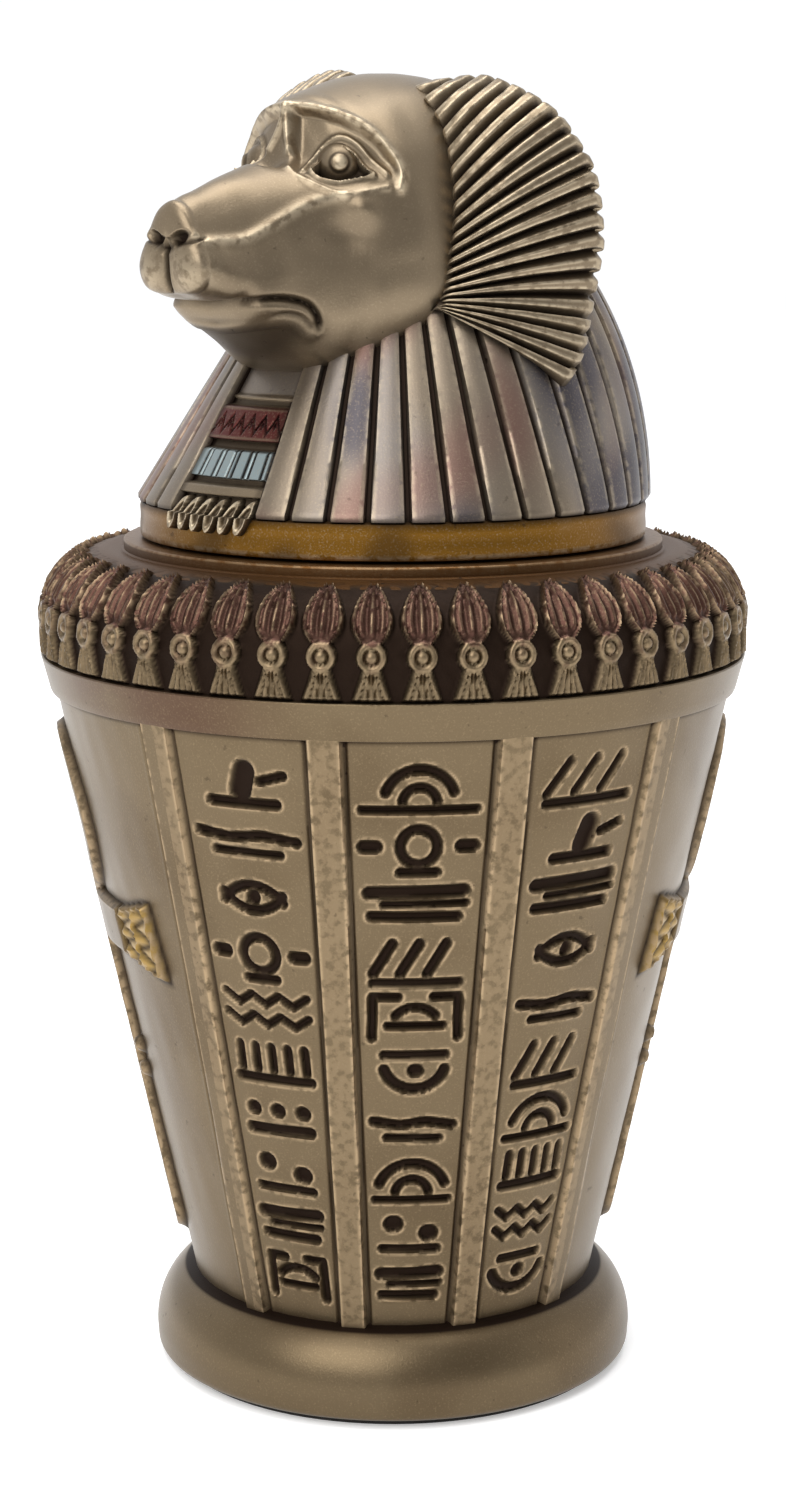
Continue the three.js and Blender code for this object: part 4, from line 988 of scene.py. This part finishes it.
def mane(name, sign, crown):
    """One fan of ribs on the side given by the sign. crown is how much higher its top stands."""
    count = MANE_RIBS * RIB_COLUMNS + 1
    v = np.linspace(0, 1, count)
    root, rim = by_length(MANE_ROOT, 1 - (1 - v) ** 2.3), by_length(MANE_RIM, v)
    rim[:, 2] += crown * smooth(148, 156, rim[:, 2])
    t = np.linspace(0, 1, FACE_ROWS)[:, None, None]
    bulge = (2.3 * np.sin(np.pi * v) ** 0.6 + 0.5)[None, :, None] * BULGE_WAY
    face = root + (rim - root) * t + bulge * np.sin(np.pi * t) ** 0.9
    down, side_step = np.gradient(face, axis=0), np.gradient(face, axis=1)
    normal = np.cross(down, side_step)
    normal /= np.maximum(np.linalg.norm(normal, axis=-1, keepdims=True), 1e-6)
    normal *= np.sign((normal * [0.7, 0.7, 0.2]).sum(-1, keepdims=True))
    w = np.abs(np.mod(v * MANE_RIBS, 1) - 0.5) * 2
    groove_share = 0.75 - 0.15 * t[..., 0]
    rib = smooth(1.0, 1 - groove_share, w[None, :])
    wobble = 0.06 * ripple(face, 3.0, 41)
    lift = RIB_DEPTH * (rib * smooth(-0.02, 0.1, t[..., 0]) - 1) + wobble
    front = face + lift[..., None] * normal
    inward = root - rim
    inward = inward / np.maximum(np.linalg.norm(inward, axis=-1, keepdims=True), 1e-6)
    roll = np.linspace(0, 1, ROLL_ROWS + 1)[1:, None, None] * np.pi / 2
    out = front[-1] + EDGE_ROLL * np.sin(roll) * BEHIND + EDGE_IN * (1 - np.cos(roll)) * inward
    rear = out[-1] + (root + BACK_ROOT - out[-1]) * np.linspace(0, 1, REAR_ROWS + 1)[1:, None, None]
    grid = np.concatenate([front, out, rear])
    grid[..., 1] *= sign
    plain = np.zeros((REAR_ROWS, count))
    rolled = np.repeat(rib[-1:], ROLL_ROWS, 0)
    grime = np.concatenate([1 - rib * smooth(-0.05, 0.12, t[..., 0]), (1 - rolled) * 0.8, plain])
    # Rubbed metal and painted highlight along the edges of the ribs and on the rolled rim.
    edge = hump(w[None, :] - (1 - groove_share * 1.05), 0.14)
    values = {"grime": np.clip(grime, 0, 1), "worn": np.concatenate([edge * 0.9, rolled * 0.5, plain])}
    return slab(name, turn_lid(ahead(*np.moveaxis(grid, -1, 0))), values, 60, flip=sign < 0)


mane_left, mane_right = mane("mane_left", -1, 1.15), mane("mane_right", 1, 0.0)

# %% [markdown]
# ## Finishes
# The casting is resin with a cold-cast bronze finish: a brown metal paint that is rubbed off
# the high edges, with dark wash left in every groove. One recipe makes all of it. The base
# colour drifts over centimetres, a fine grain of metal flakes sits on it, and then the point
# attributes take over. The dark one pulls towards dark brown: the wash, and painted shade under
# the jaw. The bright one pulls towards bright metal: the rubbed edges, and painted highlights
# along ridges and edges. The tints (gilt, amber, gold, copper, red, silver, slate, blue, black)
# lie between; the blue-grey one also paints shade on the flanks of the headcloth.

# %% Material helpers
def tone(red, green, blue):
    """A display colour of 0 to 255 as linear RGBA: c / 12.92 below 0.04045 and
    ((c + 0.055) / 1.055) ** 2.4 above."""
    display = np.array([red, green, blue]) / 255
    linear = np.where(display < 0.04045, display / 12.92, ((display + 0.055) / 1.055) ** 2.4)
    return (*linear.tolist(), 1.0)


def new_node(material, kind, inputs=None, **settings):
    """Add a shader node. inputs maps a socket's name or number to a value or an output socket."""
    made = material.node_tree.nodes.new(kind)
    for key, value in settings.items():
        setattr(made, key, value)
    for socket, value in (inputs or {}).items():
        if isinstance(value, bpy.types.NodeSocket):
            material.node_tree.links.new(value, made.inputs[socket])
        else:
            made.inputs[socket].default_value = value
    return made


def blend_colour(material, amount, first, second):
    """first where amount is 0 and second where it is 1, as a colour socket."""
    inputs = {0: amount, 6: first, 7: second}
    return new_node(material, "ShaderNodeMix", inputs, data_type="RGBA").outputs[2]


def band(material, value, low, high, amount=1.0):
    """value as 0 below low, rising smoothly to amount above high."""
    inputs = {"Value": value, "From Min": low, "From Max": high, "To Max": amount}
    made = new_node(material, "ShaderNodeMapRange", inputs, interpolation_type="SMOOTHSTEP")
    return made.outputs["Result"]


def noise(material, place, scale, detail=2.0):
    """Cloudy noise from 0 to 1, with scale in lumps a metre."""
    inputs = {"Vector": place, "Scale": scale, "Detail": detail}
    return new_node(material, "ShaderNodeTexNoise", inputs).outputs["Fac"]


def product(material, first, second):
    """One value times another."""
    return new_node(material, "ShaderNodeMath", {0: first, 1: second}, operation="MULTIPLY").outputs[0]


def cast_metal(name, base, drift, flake, wear_and_highlight, dirt_and_shade, tints=(), metallic=0.85, gloss=(0.36, 0.6)):
    """The bronze recipe. tints is a list of (attribute, colour) laid over the base in order, and
    gloss gives the roughness on clean places and on places darkened by wash or painted shade."""
    material = bpy.data.materials.new(name)
    material.use_nodes = True
    shader = material.node_tree.nodes["Principled BSDF"]
    place = new_node(material, "ShaderNodeTexCoord").outputs["Object"]
    read = {key: new_node(material, "ShaderNodeAttribute", attribute_name=key).outputs["Fac"]
            for key in ("grime", "worn", *[key for key, _ in tints])}
    clouds = noise(material, place, 55.0, 3.0)
    grain = noise(material, place, 4200.0)
    pits = noise(material, place, 900.0, 3.0)
    colour = blend_colour(material, band(material, clouds, 0.42, 0.66), base, drift)
    for key, tint in tints:
        patchy = product(material, read[key], band(material, clouds, 0.2, 0.45))
        colour = blend_colour(material, patchy, colour, tint)
    colour = blend_colour(material, band(material, grain, 0.5, 0.8, 0.35), colour, flake)
    # Rubbed metal and painted highlight: the bright attribute, broken by noise, lightens the colour
    # towards the wear colour.
    rubbed_and_highlight = product(material, read["worn"], band(material, pits, 0.34, 0.56))
    colour = blend_colour(material, rubbed_and_highlight, colour, wear_and_highlight)
    # Dark wash, and painted shade under the head's jaw: the dark attribute and small specks pull the
    # colour towards the dirt colour.
    specks = band(material, pits, 0.68, 0.76, 0.35)
    inputs = {0: read["grime"], 1: specks}
    dirt_and_shade_amount = new_node(material, "ShaderNodeMath", inputs, operation="ADD", use_clamp=True).outputs[0]
    colour = blend_colour(material, dirt_and_shade_amount, colour, dirt_and_shade)
    links = material.node_tree.links
    links.new(colour, shader.inputs["Base Color"])
    inputs = {"Value": dirt_and_shade_amount, "To Min": gloss[0], "To Max": gloss[1]}
    rough = new_node(material, "ShaderNodeMapRange", inputs)
    links.new(rough.outputs["Result"], shader.inputs["Roughness"])
    shader.inputs["Metallic"].default_value = metallic
    bump = new_node(material, "ShaderNodeBump", {"Height": grain, "Strength": 0.25, "Distance": 0.00008})
    links.new(bump.outputs["Normal"], shader.inputs["Normal"])
    return material


# %% Make the finishes
# The wear colour serves both rubbed metal and painted highlights.
bronze = cast_metal(
    "bronze", base=tone(103, 88, 66), drift=tone(93, 78, 57), flake=tone(136, 118, 91),
    wear_and_highlight=tone(158, 136, 106), dirt_and_shade=tone(32, 19, 9),
    tints=[("gilt", tone(150, 122, 66)), ("amber", tone(104, 62, 8)), ("red", tone(74, 47, 39))])
felt = bpy.data.materials.new("felt")
felt.use_nodes = True
felt_shader = felt.node_tree.nodes["Principled BSDF"]
fuzz = noise(felt, new_node(felt, "ShaderNodeTexCoord").outputs["Object"], 2200.0)
felt_colour = blend_colour(felt, fuzz, tone(20, 19, 18), tone(52, 49, 46))
felt.node_tree.links.new(felt_colour, felt_shader.inputs["Base Color"])
felt_shader.inputs["Roughness"].default_value = 0.95
# The blue-grey tint also paints shade on the flanks of the headcloth.
lid_metal = cast_metal(
    "lid_metal", base=tone(126, 111, 90), drift=tone(114, 100, 81), flake=tone(156, 140, 116),
    wear_and_highlight=tone(184, 168, 142), dirt_and_shade=tone(32, 21, 12),
    tints=[("gold", tone(108, 74, 16)), ("silver", tone(122, 114, 107)), ("copper", tone(118, 92, 82)),
           ("slate", tone(74, 70, 74)), ("red", tone(84, 38, 34)), ("blue", tone(138, 150, 151)),
           ("black", tone(26, 22, 22))])

# %% [markdown]
# ## Joining the frame
# Every piece rides the one body, says which finish it has and stands in for a node of the
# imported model. Nothing moves on this jar: the lid only rests in its mouth.

# %% Join the pieces to the frame
jar_pieces = (vessel, wall_front, wall_back, wall_right, wall_left, rim_band, flower_ring)
lid_pieces = (lid_band, headcloth, apron, apron_loops, head, *eyes, mane_left, mane_right)
for node, slot, material, pieces in (("jar", "bronze_resin", bronze, jar_pieces),
                                     ("felt_pad", "felt", felt, (felt_disc,)),
                                     ("lid", "lid_resin", lid_metal, lid_pieces)):
    for piece in pieces:
        piece.data.materials.append(material)
        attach(piece, "root")
        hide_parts(node)
    print(node, "is shown by", len(pieces), "pieces")

# %% [markdown]
# ## Camera, floor and light
# The camera stands a little to the left of the front, 37 cm away and looking down by 10.6
# degrees. A pale floor, three large soft lights and a pale world give the broad highlights that
# make cast metal readable: bright flanks with a calmer middle.

# %% Camera, floor and lights
LOOK_DOWN, FLOOR_HALF = 10.6, 3.0
camera_data = bpy.data.cameras.new("camera")
camera_data.lens, camera_data.sensor_width = 72.8, 36
camera = bpy.data.objects.new("camera", camera_data)
camera.location = (-0.0282, -0.3713, 0.1470)
camera_turn = math.atan2(camera.location.x, -camera.location.y)
camera.rotation_euler = (math.radians(90 - LOOK_DOWN), 0, camera_turn)
bpy.context.scene.collection.objects.link(camera)
bpy.context.scene.camera = camera

floor_mesh = bpy.data.meshes.new("floor")
floor_corners = [(FLOOR_HALF * x, FLOOR_HALF * y, 0) for x, y in ((-1, -1), (1, -1), (1, 1), (-1, 1))]
floor_mesh.from_pydata(floor_corners, [], [(0, 1, 2, 3)])
floor = bpy.data.objects.new("floor", floor_mesh)
bpy.context.scene.collection.objects.link(floor)
paper = bpy.data.materials.new("paper")
paper.use_nodes = True
for socket, value in (("Base Color", (0.9, 0.9, 0.9, 1)), ("Roughness", 0.9),
                      ("Emission Color", (1, 1, 1, 1)), ("Emission Strength", 0.3)):
    paper.node_tree.nodes["Principled BSDF"].inputs[socket].default_value = value
floor_mesh.materials.append(paper)
floor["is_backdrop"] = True


def soft_light(name, place, size, power):
    """A square area light in metres and watts that faces the middle of the jar."""
    data = bpy.data.lights.new(name, "AREA")
    data.shape, data.size, data.energy = "SQUARE", size, power
    light = bpy.data.objects.new(name, data)
    light.location = place
    away = light.location - Vector((0, 0, 0.08))
    light.rotation_euler = away.to_track_quat("Z", "Y").to_euler()
    bpy.context.scene.collection.objects.link(light)


soft_light("key", (-0.52, -0.84, 0.85), 1.0, 11)
soft_light("side", (0.85, -0.05, 0.30), 0.5, 0.4)
soft_light("top", (0.0, 0.05, 0.95), 0.7, 6)
world = bpy.data.worlds.new("world")
world.use_nodes = True
background = world.node_tree.nodes["Background"]
background.inputs["Color"].default_value = (0.97, 0.98, 1.0, 1)
way = new_node(world, "ShaderNodeTexCoord").outputs["Generated"]
behind = new_node(world, "ShaderNodeSeparateXYZ", {0: way}).outputs["Y"]
glow = new_node(world, "ShaderNodeMapRange", {
    "Value": behind, "From Min": -0.7, "From Max": 0.3, "To Min": 0.4, "To Max": 1.05})
world.node_tree.links.new(glow.outputs["Result"], background.inputs["Strength"])
bpy.context.scene.world = world
bpy.context.scene.view_settings.view_transform = "Standard"
print("camera", tuple(round(v, 3) for v in camera.location))

# %% Count the triangles of the shown pieces
faces = {piece.name: len(piece.data.loops) - 2 * len(piece.data.polygons)
         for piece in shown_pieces() if piece.type == "MESH"}
print("triangles", faces, sum(faces.values()))
